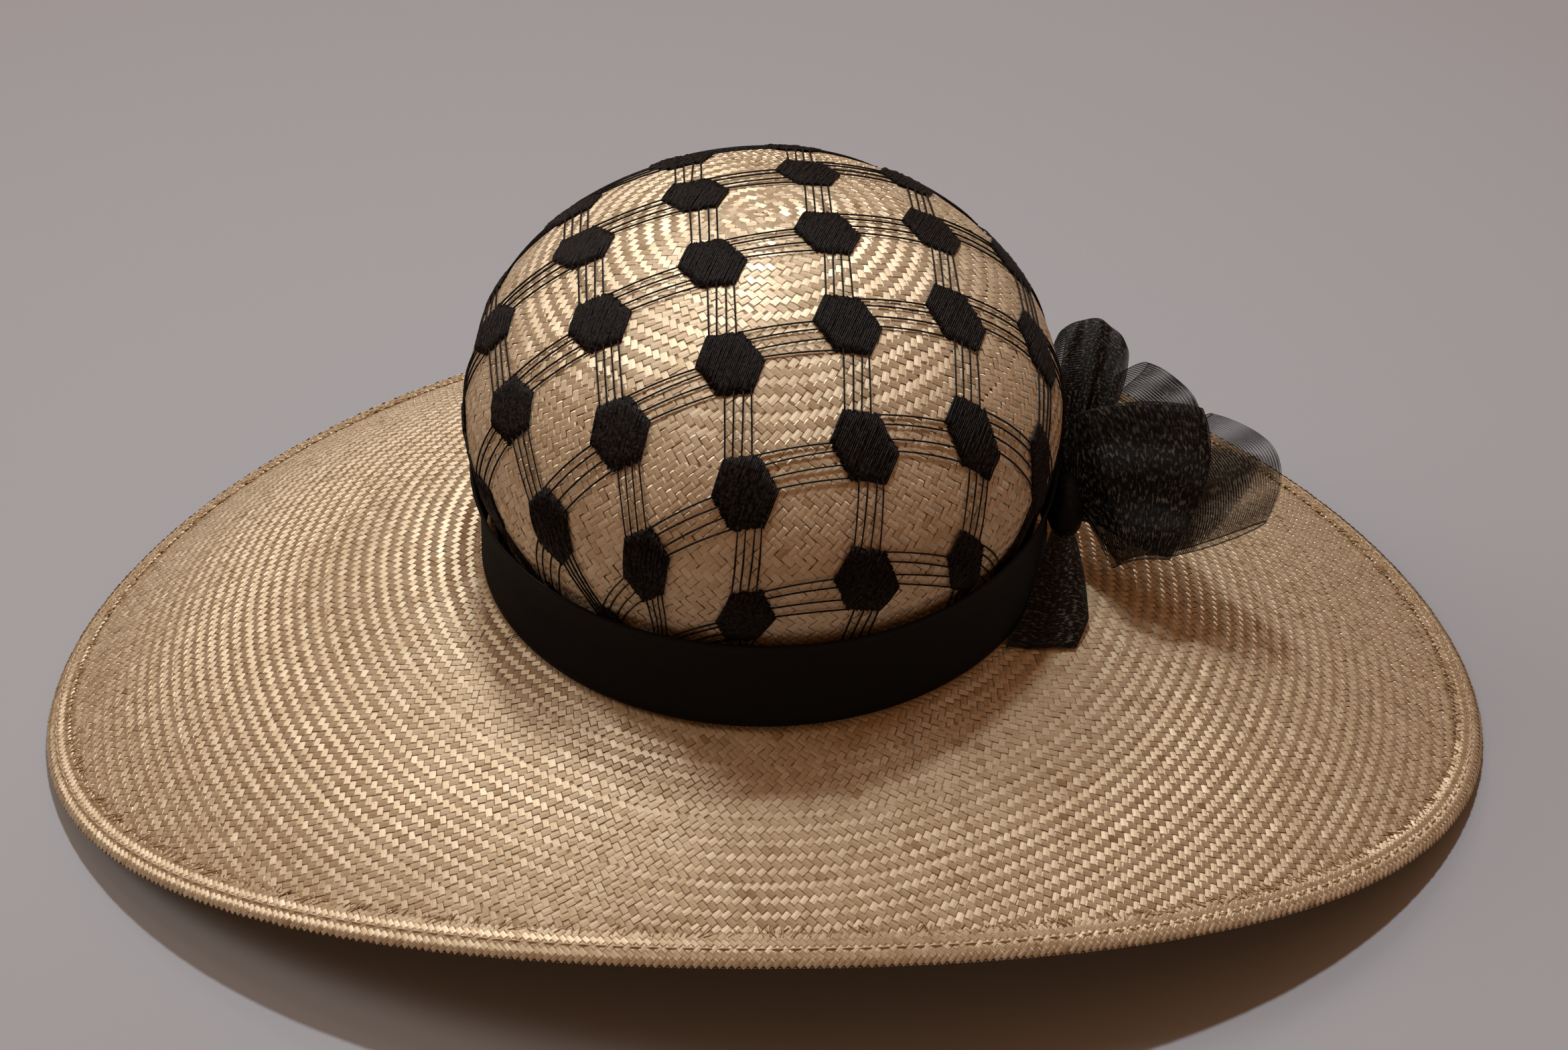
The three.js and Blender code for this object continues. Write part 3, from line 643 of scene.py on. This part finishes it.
def thread_material(name, colour, darker, roughness, shine):
    """Spun thread: its tone drifts along it and between threads."""
    material, tree, shader = new_material(name)
    place = tree.nodes.new("ShaderNodeTexCoord")
    spun = tone_over(tree, place.outputs["Object"], 1100)
    fibres = tree.nodes.new("ShaderNodeMapRange")
    fibres.inputs["From Min"].default_value = 0.4
    fibres.inputs["From Max"].default_value = 0.7
    mix = tree.nodes.new("ShaderNodeMixRGB")
    mix.inputs["Color1"].default_value = darker
    mix.inputs["Color2"].default_value = colour
    bump = tree.nodes.new("ShaderNodeBump")
    bump.inputs["Strength"].default_value = 0.4
    bump.inputs["Distance"].default_value = 0.0003
    tree.links.new(spun, fibres.inputs["Value"])
    tree.links.new(fibres.outputs["Result"], mix.inputs["Fac"])
    tree.links.new(spun, bump.inputs["Height"])
    tree.links.new(mix.outputs["Color"], shader.inputs["Base Color"])
    tree.links.new(bump.outputs["Normal"], shader.inputs["Normal"])
    shader.inputs["Roughness"].default_value = roughness
    shader.inputs["Specular IOR Level"].default_value = shine
    return material


def hem_place(u, v):
    """The hem's cloth laid round the brim's edge."""
    return on_hem(HEM_REACH * v, -2 * math.pi * u, 0)


def even_turns(place, distance, spacing):
    """Turns at equal steps along a ring."""
    turns = np.linspace(0, 2 * math.pi, TURN_STEPS + 1)
    ring = place(np.full(turns.shape, distance), turns, 0)
    girth = np.r_[0, np.cumsum(np.linalg.norm(np.diff(ring, axis=0), axis=1))]
    return np.interp(np.arange(0, girth[-1], spacing), girth, turns)


hem_base = laid_sheet("hem_base", BRIM_COLUMNS, HEM_STEPS, hem_place, closed=True)
thicken(hem_base, HEM_BASE_WALL, -1)
hem_base.data.materials.append(straw_backing)
hem_rows = np.arange(HEM_FIRST_ROW, HEM_REACH, HEM_ROW)
hem_weave = woven(
    "hem_weave", on_hem, hem_rows, HEM_ROW, HEM_PITCH, HEM_FLOAT_LIFT, straw, 5, painted_shade=HEM_PAINTED_SHADE
)
stitch_thread = thread_material("stitch_thread", (0.78, 0.64, 0.45, 1), (0.6, 0.46, 0.29, 1), 0.6, 0.4)
stitch_turns = even_turns(on_hem, STITCH_PLACE, STITCH)
stitch_steps = np.linspace(0, STITCH_SHARE, len(STITCH_RISE))
next_turns = np.r_[stitch_turns[1:], stitch_turns[0] + 2 * math.pi]
stitch_turn = stitch_turns[:, None] + (next_turns - stitch_turns)[:, None] * stitch_steps
stitch_paths = on_hem(STITCH_PLACE + 0 * stitch_turn, stitch_turn, STITCH_RISE[None])
hem_stitches = threads("hem_stitches", stitch_paths, STITCH_RADIUS, stitch_thread)
fray_straw = thread_material("fray_straw", (0.6, 0.45, 0.26, 1), (0.36, 0.23, 0.11, 1), 0.7, 0.3)
draw = np.random.default_rng(6)
along_fray = np.linspace(0, 1, FRAY_STEPS)
fray_turn = draw.uniform(0, 2 * math.pi, (FRAYS, 1))
fray_turn = fray_turn + draw.normal(0, FRAY_STRAY, (FRAYS, 1)) * along_fray
fray_out = FRAY_ROOT - draw.uniform(*FRAY_LENGTHS, (FRAYS, 1)) * along_fray
fray_level = HEM_TOP - np.linspace(*FRAY_DROP, FRAY_STEPS) + draw.uniform(*FRAY_LEVELS, (FRAYS, 1))
fray_paths = on_brim(brim_length(fray_turn) - HEM_WIDTH + fray_out, fray_turn, fray_level)
hem_frays = threads("hem_frays", fray_paths, FRAY_RADIUS, fray_straw)
for piece in (brim_base, brim_weave, brim_weave_under, hem_base, hem_weave, hem_stitches, hem_frays):
    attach(piece, "root")
    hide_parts("brim")

# The net over the crown: black thread spots, six-sided and closely ribbed, each tied to its four
# neighbours by four bare threads. It is drawn over the dome and goes in under the band.
NET_CENTRE = (0.0209, -0.0088)
# The net's two directions of thread: metres from spot to spot, heading, and degrees of bend per spot.
NET_ACROSS = (0.0385, 24, 2.9)
NET_ALONG = (0.0407, 99.5, -1)
NET_REACH = 7
NET_FINE = 4
NET_SPOTS = 5
NET_FOOT = 0.010
NET_LIFT = 0.0009
# In parts of the net's pitch: a spot's six corners, half of its middle rib and half of its stack of ribs.
SPOT_CORNERS = np.array(
    [(-0.139, 0.31), (0.139, 0.218), (0.278, -0.093), (0.139, -0.31), (-0.139, -0.218), (-0.278, 0.093)]
)
SPOT_RIB = np.array((0.139, 0.217))
SPOT_STACK = np.array((0.2085, -0.2015))
SPOT_RIBS = 32
RIB_RADIUS = 0.00042
RIB_STEPS = 7
# Each thread leaves one spot's side and reaches the next one's at these parts of the side. A bundle
# goes by a step to the next spot, from one side's two corners to another's.
THREADS_ALONG = ((0.02, 0.22), (0.27, 0.5), (0.53, 0.76), (0.8, 0.98))
THREADS_ACROSS = ((0.05, 0.0), (0.3, 0.25), (0.65, 0.6), (0.95, 0.95))
BUNDLES = (((0, 1), (0, 1, 4, 3), THREADS_ALONG), ((1, 0), (1, 2, 5, 4), THREADS_ACROSS))
RIB_LENGTHS = (0.94, 1.03)
RIB_LIFTS = (-0.0001, 0.00015)
RIB_ENDS_DROP = 0.0003
RIB_UNEVEN = 0.00022
THREAD_STEPS = 9
THREAD_RADIUS = 0.0003
THREAD_DROP = 0.0001
THREAD_OVERRUN = 0.06
THREAD_STRAY = 0.03
SOLVE_ROUNDS = 12
SOLVE_SLIP = 0.00005


def on_flat(flat, lift):
    """Points on the crown at flat places: as far from the tip as a place is from the middle, its way."""
    return on_crown(np.hypot(flat[..., 0], flat[..., 1]), np.arctan2(flat[..., 1], flat[..., 0]), lift)


def net_grid():
    """Flat places of the net's fine grid, whose two thread directions both keep their length."""
    half = NET_REACH * NET_FINE
    grid = np.zeros((2 * half + 1, 2 * half + 1, 2))
    grid[half, half] = NET_CENTRE
    steps = (NET_ACROSS[0] / NET_FINE, NET_ALONG[0] / NET_FINE)
    for sign in (-1, 1):
        for axis, (_, heading, bend) in enumerate((NET_ACROSS, NET_ALONG)):
            last = np.array(NET_CENTRE)
            for k in range(1, half + 1):
                angle = math.radians(heading + sign * bend * (k - 0.5) / NET_FINE)
                way = sign * steps[axis] * np.array([math.cos(angle), math.sin(angle)])
                for _ in range(SOLVE_ROUNDS):
                    way = way * steps[axis] / np.linalg.norm(on_flat(last + way, 0) - on_flat(last, 0))
                last = last + way
                grid[(half + sign * k, half) if axis == 0 else (half, half + sign * k)] = last
    for total in range(2, 2 * half + 1):
        i = np.arange(max(1, total - half), min(half, total - 1) + 1)
        j = np.tile(total - i, 4) * np.repeat((1, -1, 1, -1), len(i))
        i = np.tile(i, 4) * np.repeat((1, 1, -1, -1), len(i))
        left = grid[half + i - np.sign(i), half + j]
        below = grid[half + i, half + j - np.sign(j)]
        found = left + below - grid[half + i - np.sign(i), half + j - np.sign(j)]
        ends = (on_flat(left, 0), on_flat(below, 0))
        for _ in range(SOLVE_ROUNDS):
            at, at_x, at_y = (
                [
                    np.linalg.norm(on_flat(found + slip, 0) - end, axis=-1) - step
                    for end, step in zip(ends, steps)
                ]
                for slip in ((0, 0), (SOLVE_SLIP, 0), (0, SOLVE_SLIP))
            )
            fx, gx, fy, gy = ((a - b) / SOLVE_SLIP for a, b in zip(at_x + at_y, at + at))
            det = fx * gy - fy * gx
            det = np.where(np.abs(det) < 1e-4, 1e9, det)
            move = np.stack([at[0] * gy - at[1] * fy, at[1] * fx - at[0] * gx], -1) / det[:, None]
            found = found - np.clip(move, -max(steps), max(steps))
        grid[half + i, half + j] = found
    return grid


NET_GRID = net_grid()


def on_net(lattice, lift):
    """Points of the net at lattice places, where each whole pair is a spot."""
    fine = np.clip((lattice + NET_REACH) * NET_FINE, 0, 2 * NET_REACH * NET_FINE - 1e-6)
    cell = fine.astype(int)
    u, v = np.moveaxis(fine - cell, -1, 0)[..., None]
    i, j = cell[..., 0], cell[..., 1]
    low = NET_GRID[i, j] * (1 - u) + NET_GRID[i + 1, j] * u
    high = NET_GRID[i, j + 1] * (1 - u) + NET_GRID[i + 1, j + 1] * u
    return on_flat(low * (1 - v) + high * v, lift)


def above_foot(paths):
    """The paths that stay on the crown, above its foot."""
    return paths[paths[..., 2].min(axis=1) > FOOT_HEIGHT + NET_FOOT]


net_thread = thread_material(
    "net_thread", (0.03, 0.021, 0.017, 1), (0.0005, 0.0004, 0.0004, 1), 0.62, 0.1
)
draw = np.random.default_rng(7)
spot_numbers = range(-NET_SPOTS, NET_SPOTS + 1)
spot_places = np.array([(i, j) for i in spot_numbers for j in spot_numbers])
stack = np.linspace(-1, 1, SPOT_RIBS)
rib_half = (1 - np.abs(stack) / 2) * draw.uniform(*RIB_LENGTHS, (len(spot_places), SPOT_RIBS))
rib_slide = np.linspace(-1, 1, RIB_STEPS)
rib_places = (
    spot_places[:, None, None, :]
    + stack[None, :, None, None] * SPOT_STACK
    + (rib_half[..., None] * rib_slide)[..., None] * SPOT_RIB
)
rib_lift = NET_LIFT + draw.uniform(*RIB_LIFTS, rib_half.shape)[..., None] - RIB_ENDS_DROP * rib_slide**4
rib_lift = rib_lift + draw.uniform(-RIB_UNEVEN, RIB_UNEVEN, rib_lift.shape)
rib_paths = on_net(rib_places, rib_lift).reshape(-1, RIB_STEPS, 3)
net_spots = threads("net_spots", above_foot(rib_paths), RIB_RADIUS, net_thread)

part = np.linspace(-THREAD_OVERRUN, 1 + THREAD_OVERRUN, THREAD_STEPS)[:, None]
bundle_paths = []
for spot in spot_places:
    for step, sides, places in BUNDLES:
        corners = SPOT_CORNERS[list(sides)] + spot
        corners[2:] += step
        for leaves, arrives in places:
            leaves += draw.uniform(-THREAD_STRAY, THREAD_STRAY)
            arrives += draw.uniform(-THREAD_STRAY, THREAD_STRAY)
            start = corners[0] + (corners[1] - corners[0]) * leaves
            end = corners[2] + (corners[3] - corners[2]) * arrives
            bundle_paths.append(start + (end - start) * part)
bundle_paths = on_net(np.array(bundle_paths), NET_LIFT - THREAD_DROP)
net_threads = threads("net_threads", above_foot(bundle_paths), THREAD_RADIUS, net_thread)
for piece in (net_spots, net_threads):
    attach(piece, "root")
    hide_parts("net_overlay")

# The band: a black ribbed ribbon, drawn round the foot of the crown over the net's edge. Two loose
# ends of thread come out below it at the front.
BAND_FOOT = 0.0006
BAND_TOP = 0.0331
BAND_LIFT = (0.0036, 0.0029)
BAND_WALL = 0.0009
BAND_RIBS = 740
BAND_RIB_RISE = 0.00014
BAND_ROWS = 11
BAND_WANDER = (0.0003, 0.0002)
BAND_EDGES = 20
BAND_EDGE_RISE = 1.4
LOOSE_TURN = math.radians(213)
LOOSE_RADIUS = 0.00014


def band_place(u, v):
    """The ribbon follows the crown, its ribs stand up and down, and its edges are a little thicker."""
    turn = -2 * math.pi * u
    wander = BAND_WANDER[0] * np.sin(3 * turn + 1) + BAND_WANDER[1] * np.sin(7 * turn)
    height = BAND_FOOT + (BAND_TOP - BAND_FOOT) * v + wander * v
    travel = np.interp(-height, -PROFILE[2], PROFILE[0])
    rib = np.cos(2 * math.pi * BAND_RIBS * u)
    edge = np.clip(1 - np.minimum(v, 1 - v) * BAND_EDGES, 0, 1)
    lift = BAND_LIFT[0] + (BAND_LIFT[1] - BAND_LIFT[0]) * v
    return on_crown(travel, turn, lift + BAND_RIB_RISE * (rib * (1 - edge) + BAND_EDGE_RISE * edge))


def ribbon_material(name):
    """Ribbed black ribbon with a dull silk shine and an uneven weave."""
    material, tree, shader = new_material(name)
    place = tree.nodes.new("ShaderNodeTexCoord")
    weave = tone_over(tree, place.outputs["Object"], 900, stretch=(1, 1, 6))
    mix = tree.nodes.new("ShaderNodeMixRGB")
    mix.inputs["Color1"].default_value = (0.0012, 0.001, 0.001, 1)
    mix.inputs["Color2"].default_value = (0.0045, 0.0038, 0.0038, 1)
    bump = tree.nodes.new("ShaderNodeBump")
    bump.inputs["Strength"].default_value = 0.25
    bump.inputs["Distance"].default_value = 0.0002
    tree.links.new(weave, mix.inputs["Fac"])
    tree.links.new(weave, bump.inputs["Height"])
    tree.links.new(mix.outputs["Color"], shader.inputs["Base Color"])
    tree.links.new(bump.outputs["Normal"], shader.inputs["Normal"])
    shader.inputs["Roughness"].default_value = 0.62
    shader.inputs["Specular IOR Level"].default_value = 0.16
    return material


ribbon = ribbon_material("ribbon")
hat_band = laid_sheet("hat_band_ribbon", BAND_RIBS * 2, BAND_ROWS, band_place, closed=True)
thicken(hat_band, BAND_WALL, -1)
hat_band.data.materials.append(ribbon)
loose_turn = LOOSE_TURN + np.array([[0, -0.002, -0.006, -0.004], [0, 0.004, 0.002, 0.008]])
loose_out = np.array([[0.001, 0.0045, 0.0062, 0.0078], [0.001, 0.0042, 0.006, 0.0072]])
loose_level = np.array([[0.0016, 0.0024, 0.0019, 0.0013], [0.0016, 0.0021, 0.0018, 0.0013]])
loose_paths = on_brim(loose_out, loose_turn, loose_level)
loose_ends = threads("hat_band_loose_ends", loose_paths, LOOSE_RADIUS, net_thread)
for piece in (hat_band, loose_ends):
    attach(piece, "root")
    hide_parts("hat_band")

# The bow: one sheer ribbed ribbon folded into loops, gathered and bound to the band at the viewer's
# right. Two layers of it over one another look nearly black.
KNOT_PLACE = np.array([(HEAD_RADIUS + 0.0042) * OVAL[0] + 0.0054, AXIS_Y - 0.008, FOOT_HEIGHT + 0.017])
LOOP_PINCH = 0.005
LOOP_END_GAP = 0.0013
LOOP_COLUMNS = 120
LOOP_ROWS = 48
RIBBON_RIB = 0.00085
SHEER_DENSITY = (0.3, 0.82)
SELVEDGE = (0.018, 0.01)
SELVEDGE_COVER = 0.9
CRIMP = 0.0007
FULL_PLEAT = 0.0006
INNER_POINT = 0.35
INNER_EDGE = 0.03
# Each loop in metres and degrees: turn and roll set its plane, grow is how soon its two edges open, blunt
# rounds its tip, layers is how dense its cloth is, and inner is how far out a second turn of it reaches.
LOOPS = {
    "bow_loop_lower": dict(
        length=0.065, width=0.039, start=0.005, turn=0, roll=46, first=2, last=31, fan=3, shift=0,
        open_by=0.007, wave=0.0012, pleats=0.0004, grow=(0.5, 0.5), blunt=0.2, layers=0.65, inner=0.93,
    ),
    "bow_loop_front": dict(
        length=0.041, width=0.049, start=0.004, turn=0, roll=50, first=27, last=-19, fan=3, shift=0.008,
        open_by=0.005, wave=0.0008, pleats=0.0008, grow=(0.06, 0.22), blunt=0.14, layers=1.8, inner=0,
    ),
    "bow_loop_middle": dict(
        length=0.050, width=0.034, start=0.006, turn=4, roll=46, first=46, last=30, fan=6, shift=-0.004,
        open_by=0.006, wave=0.001, pleats=0.0006, grow=(0.5, 0.5), blunt=0.12, layers=1.1, inner=0.8,
    ),
    "bow_loop_upper": dict(
        length=0.055, width=0.0215, start=0.008, turn=8, roll=46, first=76, last=69, fan=3, shift=-0.004,
        open_by=0.006, wave=0.0012, pleats=0.0012, grow=(0.8, 0.8), blunt=0.12, layers=3.4, inner=0,
    ),
}


def turned(axis, degrees):
    """Rotation matrix about one axis."""
    cos, sin = math.cos(math.radians(degrees)), math.sin(math.radians(degrees))
    matrix = np.eye(3)
    a, b = [(1, 2), (2, 0), (0, 1)][axis]
    matrix[a, a] = matrix[b, b] = cos
    matrix[a, b], matrix[b, a] = -sin, sin
    return matrix


def smooth_step(part):
    """Eases from 0 to 1."""
    part = np.clip(part, 0, 1)
    return part**2 * (3 - 2 * part)


def loop_gather(reach, v, grow):
    """How closely the ribbon is drawn together at a reach from the knot: 1 in it, 0 where it is open."""
    return 1 - smooth_step(reach / (grow[0] + (grow[1] - grow[0]) * v))


def loop_place(
    length, width, start, turn, roll, first, last, fan, shift, open_by, wave, pleats, grow, blunt
):
    """One loop: the ribbon leaves the knot pinched, opens to its width, turns at its tip and comes back.

    In its own plane it leaves at the angle first and bends to the angle last. Its two layers fan apart.
    """
    outward, across, up = (turned(2, turn) @ turned(0, roll)).T

    def place(u, v):
        round_way = 2 * math.pi * u
        spread = 2 * v - 1
        reach = (1 - np.cos(round_way)) / 2
        gather = loop_gather(reach, v, grow)
        half = width / 2 + (LOOP_PINCH - width / 2) * gather
        leave = np.radians(first + fan * (2 * smooth_step((u - 0.3) / 0.4) - 1))
        bend = np.radians(last) - leave
        angle = leave + bend * reach * (1 - blunt * spread**2)
        out = start * np.cos(leave) + length * (np.sin(angle) - np.sin(leave)) / bend
        out -= half * spread * np.sin(angle)
        aside = start * np.sin(leave) + length * (np.cos(leave) - np.cos(angle)) / bend
        aside += half * spread * np.cos(angle)
        swell = shift * np.clip(4 * reach, 0, 1) + open_by * np.sin(round_way) * reach
        swell += LOOP_END_GAP * np.cos(round_way / 2)
        swell += wave * 4 * gather * reach * np.cos(2.5 * math.pi * spread)
        swell += CRIMP * 4 * gather * np.sqrt(reach) * np.cos(7 * math.pi * spread + 2 * u)
        own_phase = 2.4 * math.sin(9 * first)
        swell += pleats * smooth_step(5 * reach) * np.sin(5 * math.pi * v + own_phase + 3 * u)
        return KNOT_PLACE + outward * out[:, None] + across * aside[:, None] + up * swell[:, None]

    return place


def sheer_material(name):
    """Sheer ribbed cloth: ribs across the ribbon with gaps between, more layers where it is gathered."""
    material, tree, shader = new_material(name)
    links = tree.links

    def sum_node(operation, first, second=None):
        node = tree.nodes.new("ShaderNodeMath")
        node.operation = operation
        for socket, value in zip(node.inputs, (first, second)):
            if isinstance(value, bpy.types.NodeSocket):
                links.new(value, socket)
            elif value is not None:
                socket.default_value = value
        return node.outputs["Value"]

    uv = tree.nodes.new("ShaderNodeUVMap")
    uv.uv_map = "cloth"
    split = tree.nodes.new("ShaderNodeSeparateXYZ")
    links.new(uv.outputs["UV"], split.inputs["Vector"])
    place = tree.nodes.new("ShaderNodeTexCoord")
    uneven = tone_over(tree, place.outputs["Object"], 500)
    layers = tree.nodes.new("ShaderNodeAttribute")
    layers.attribute_name = "layers"
    even_turn = sum_node("MULTIPLY", split.outputs["X"], 2 * math.pi / RIBBON_RIB)
    turn = sum_node("ADD", even_turn, uneven)
    gaps = tree.nodes.new("ShaderNodeMapRange")
    gaps.inputs["From Min"].default_value = -1
    gaps.inputs["To Min"].default_value = 1 - SHEER_DENSITY[0]
    gaps.inputs["To Max"].default_value = 1 - SHEER_DENSITY[1]
    links.new(sum_node("SINE", turn), gaps.inputs["Value"])
    cover = sum_node("SUBTRACT", 1, sum_node("POWER", gaps.outputs["Result"], layers.outputs["Fac"]))
    selvedge = tree.nodes.new("ShaderNodeMapRange")
    selvedge.inputs["From Min"].default_value = SELVEDGE[0]
    selvedge.inputs["From Max"].default_value = SELVEDGE[1]
    selvedge.inputs["To Max"].default_value = SELVEDGE_COVER
    links.new(sum_node("PINGPONG", split.outputs["Y"], 0.5), selvedge.inputs["Value"])
    links.new(sum_node("MAXIMUM", cover, selvedge.outputs["Result"]), shader.inputs["Alpha"])
    # Light dashes along the ribs painted into the cloth's colour: painted sparkle, standing in for glints
    # off the ribs. The same noise bumps the ribs.
    painted_sparkle_and_bump = tone_over(tree, uv.outputs["UV"], 1, stretch=(1 / RIBBON_RIB, 22, 1))
    ramp = tree.nodes.new("ShaderNodeValToRGB")
    ramp.color_ramp.elements[0].position = 0.52
    ramp.color_ramp.elements[0].color = (0.004, 0.0034, 0.003, 1)
    ramp.color_ramp.elements[1].position = 0.74
    ramp.color_ramp.elements[1].color = (0.13, 0.108, 0.082, 1)
    links.new(painted_sparkle_and_bump, ramp.inputs["Fac"])
    links.new(ramp.outputs["Color"], shader.inputs["Base Color"])
    bump = tree.nodes.new("ShaderNodeBump")
    bump.inputs["Strength"].default_value = 0.7
    bump.inputs["Distance"].default_value = 0.0003
    links.new(painted_sparkle_and_bump, bump.inputs["Height"])
    links.new(bump.outputs["Normal"], shader.inputs["Normal"])
    shader.inputs["Roughness"].default_value = 0.6
    shader.inputs["Specular IOR Level"].default_value = 0.1
    return material


def cloth_map(piece, along, layers):
    """The ribbon's own map, along(u) metres along it and 0 to 1 across, and its layers(u, v) of cloth."""
    layer = piece.data.uv_layers[0]
    layer.name = "cloth"
    flat = np.empty(len(layer.data) * 2)
    layer.data.foreach_get("uv", flat)
    thick = layers(flat[0::2], flat[1::2])
    flat[0::2] = along(flat[0::2])
    layer.data.foreach_set("uv", flat)
    piece.data.attributes.new("layers", "FLOAT", "CORNER").data.foreach_set("value", thick)


def loop_along(length):
    """Metres along a loop's ribbon, out to the tip and back."""

    def along(u):
        swing = np.cos(2 * math.pi * u)
        return length * np.where(u < 0.5, 1 - swing, 3 + swing) / 2

    return along


def loop_layers(layers, pleats, grow, inner):
    """Layers of cloth in a loop: more near the knot, in its pleats and over a pointed inner turn."""

    def count(u, v):
        reach = (1 - np.cos(2 * math.pi * u)) / 2
        gather = loop_gather(reach, v, grow)
        doubled = smooth_step((inner - INNER_POINT * np.abs(2 * v - 1) - reach) / INNER_EDGE)
        fold = np.clip(pleats / FULL_PLEAT, 0, 1) * np.cos(7 * math.pi * v + 4 * u + 2)
        return layers * (1 + 0.5 * fold + 2 * doubled) * (1 + 2.5 * gather)

    return count


sheer = sheer_material("sheer")
for name, form in LOOPS.items():
    layers = form.pop("layers")
    inner = form.pop("inner")
    loop = laid_sheet(name + "_cloth", LOOP_COLUMNS, LOOP_ROWS, loop_place(**form))
    loop_cloth = loop_layers(layers, form["pleats"], form["grow"], inner)
    cloth_map(loop, loop_along(form["length"]), loop_cloth)
    loop.data.materials.append(sheer)
    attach(loop, "root")
    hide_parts(name)

# The knot: a short end of the ribbon wrapped tightly round the gathered loops, in five pleats, which
# holds them against the band.
KNOT_HALF = (0.006, 0.009, 0.010)
KNOT_SEGMENTS = 64
KNOT_RINGS = 40
KNOT_PLEATS = 5
KNOT_PLEAT_DEPTH = 0.06

bpy.ops.object.select_all(action="DESELECT")
bpy.ops.mesh.primitive_uv_sphere_add(segments=KNOT_SEGMENTS, ring_count=KNOT_RINGS, radius=1)
bow_knot = bpy.context.active_object
bow_knot.name = bow_knot.data.name = "bow_knot_wrap"
ball = np.empty(len(bow_knot.data.vertices) * 3)
bow_knot.data.vertices.foreach_get("co", ball)
ball = ball.reshape(-1, 3)
pleat = 1 - KNOT_PLEAT_DEPTH * (1 + np.cos(KNOT_PLEATS * math.pi * ball[:, 1] + 0.8 * ball[:, 2]))
plump = pleat / np.sqrt(np.maximum(np.hypot(ball[:, 0], ball[:, 2]), 1e-6))
ball = ball * np.stack([plump, np.ones(len(ball)), plump], -1) * KNOT_HALF + KNOT_PLACE
bow_knot.data.vertices.foreach_set("co", ball.ravel())
bpy.ops.object.shade_smooth()
bow_knot.data.materials.append(ribbon)
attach(bow_knot, "root")
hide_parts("bow_knot")

# The tail: the ribbon's hemmed end, which comes forward from the knot along the band, folded double,
# and lies on the brim. Each of its stations gives the turn and reach of the edge near the band, the
# turn and reach of the far edge, and the height.
TAIL_STATIONS = np.array(
    [
        (-11, 0.006, -9.6, 0.014, 0.0165),
        (-19, 0.0048, -15, 0.018, 0.011),
        (-27, 0.005, -21, 0.022, 0.004),
        (-36, 0.0055, -28, 0.022, 0.0009),
    ]
)
TAIL_FLAT = (0.044, 0.045)
TAIL_LAYERS_APART = 0.0007
TAIL_LAYERS = 2.5
TAIL_HEM = (0.88, 0.0006)
TAIL_RIPPLE = 0.0009
TAIL_COLUMNS = 60
TAIL_ROWS = 40


def tail_place(u, v):
    """Folded double: out from the edge near the band to the far edge and back beneath."""
    last = len(TAIL_STATIONS) - 1
    at = np.stack([np.interp(u * last, np.arange(last + 1), column) for column in TAIL_STATIONS.T])
    side = 1 - np.abs(2 * v - 1)
    turn = np.radians(at[0] + (at[2] - at[0]) * side)
    out = at[1] + (at[3] - at[1]) * side
    head, away, _, slope, bend = brim_way(turn)
    height = FOOT_HEIGHT - SEAT_GAP - slope * out - bend * out**2 + at[4]
    height += TAIL_RIPPLE * np.sin(3 * math.pi * side + 1) * np.clip(1.4 - u, 0, 1)
    height += np.where(v < 0.5, TAIL_LAYERS_APART + TAIL_HEM[1] * (u > TAIL_HEM[0]), 0)
    return np.concatenate([head + away * out[:, None], height[:, None]], -1)


bow_tail = laid_sheet("bow_tail_cloth", TAIL_COLUMNS, TAIL_ROWS, tail_place)
cloth_map(bow_tail, lambda u: TAIL_FLAT[1] * u, lambda u, v: TAIL_LAYERS + 0 * u)
bow_tail.data.materials.append(sheer)
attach(bow_tail, "root")
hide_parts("bow_tail")
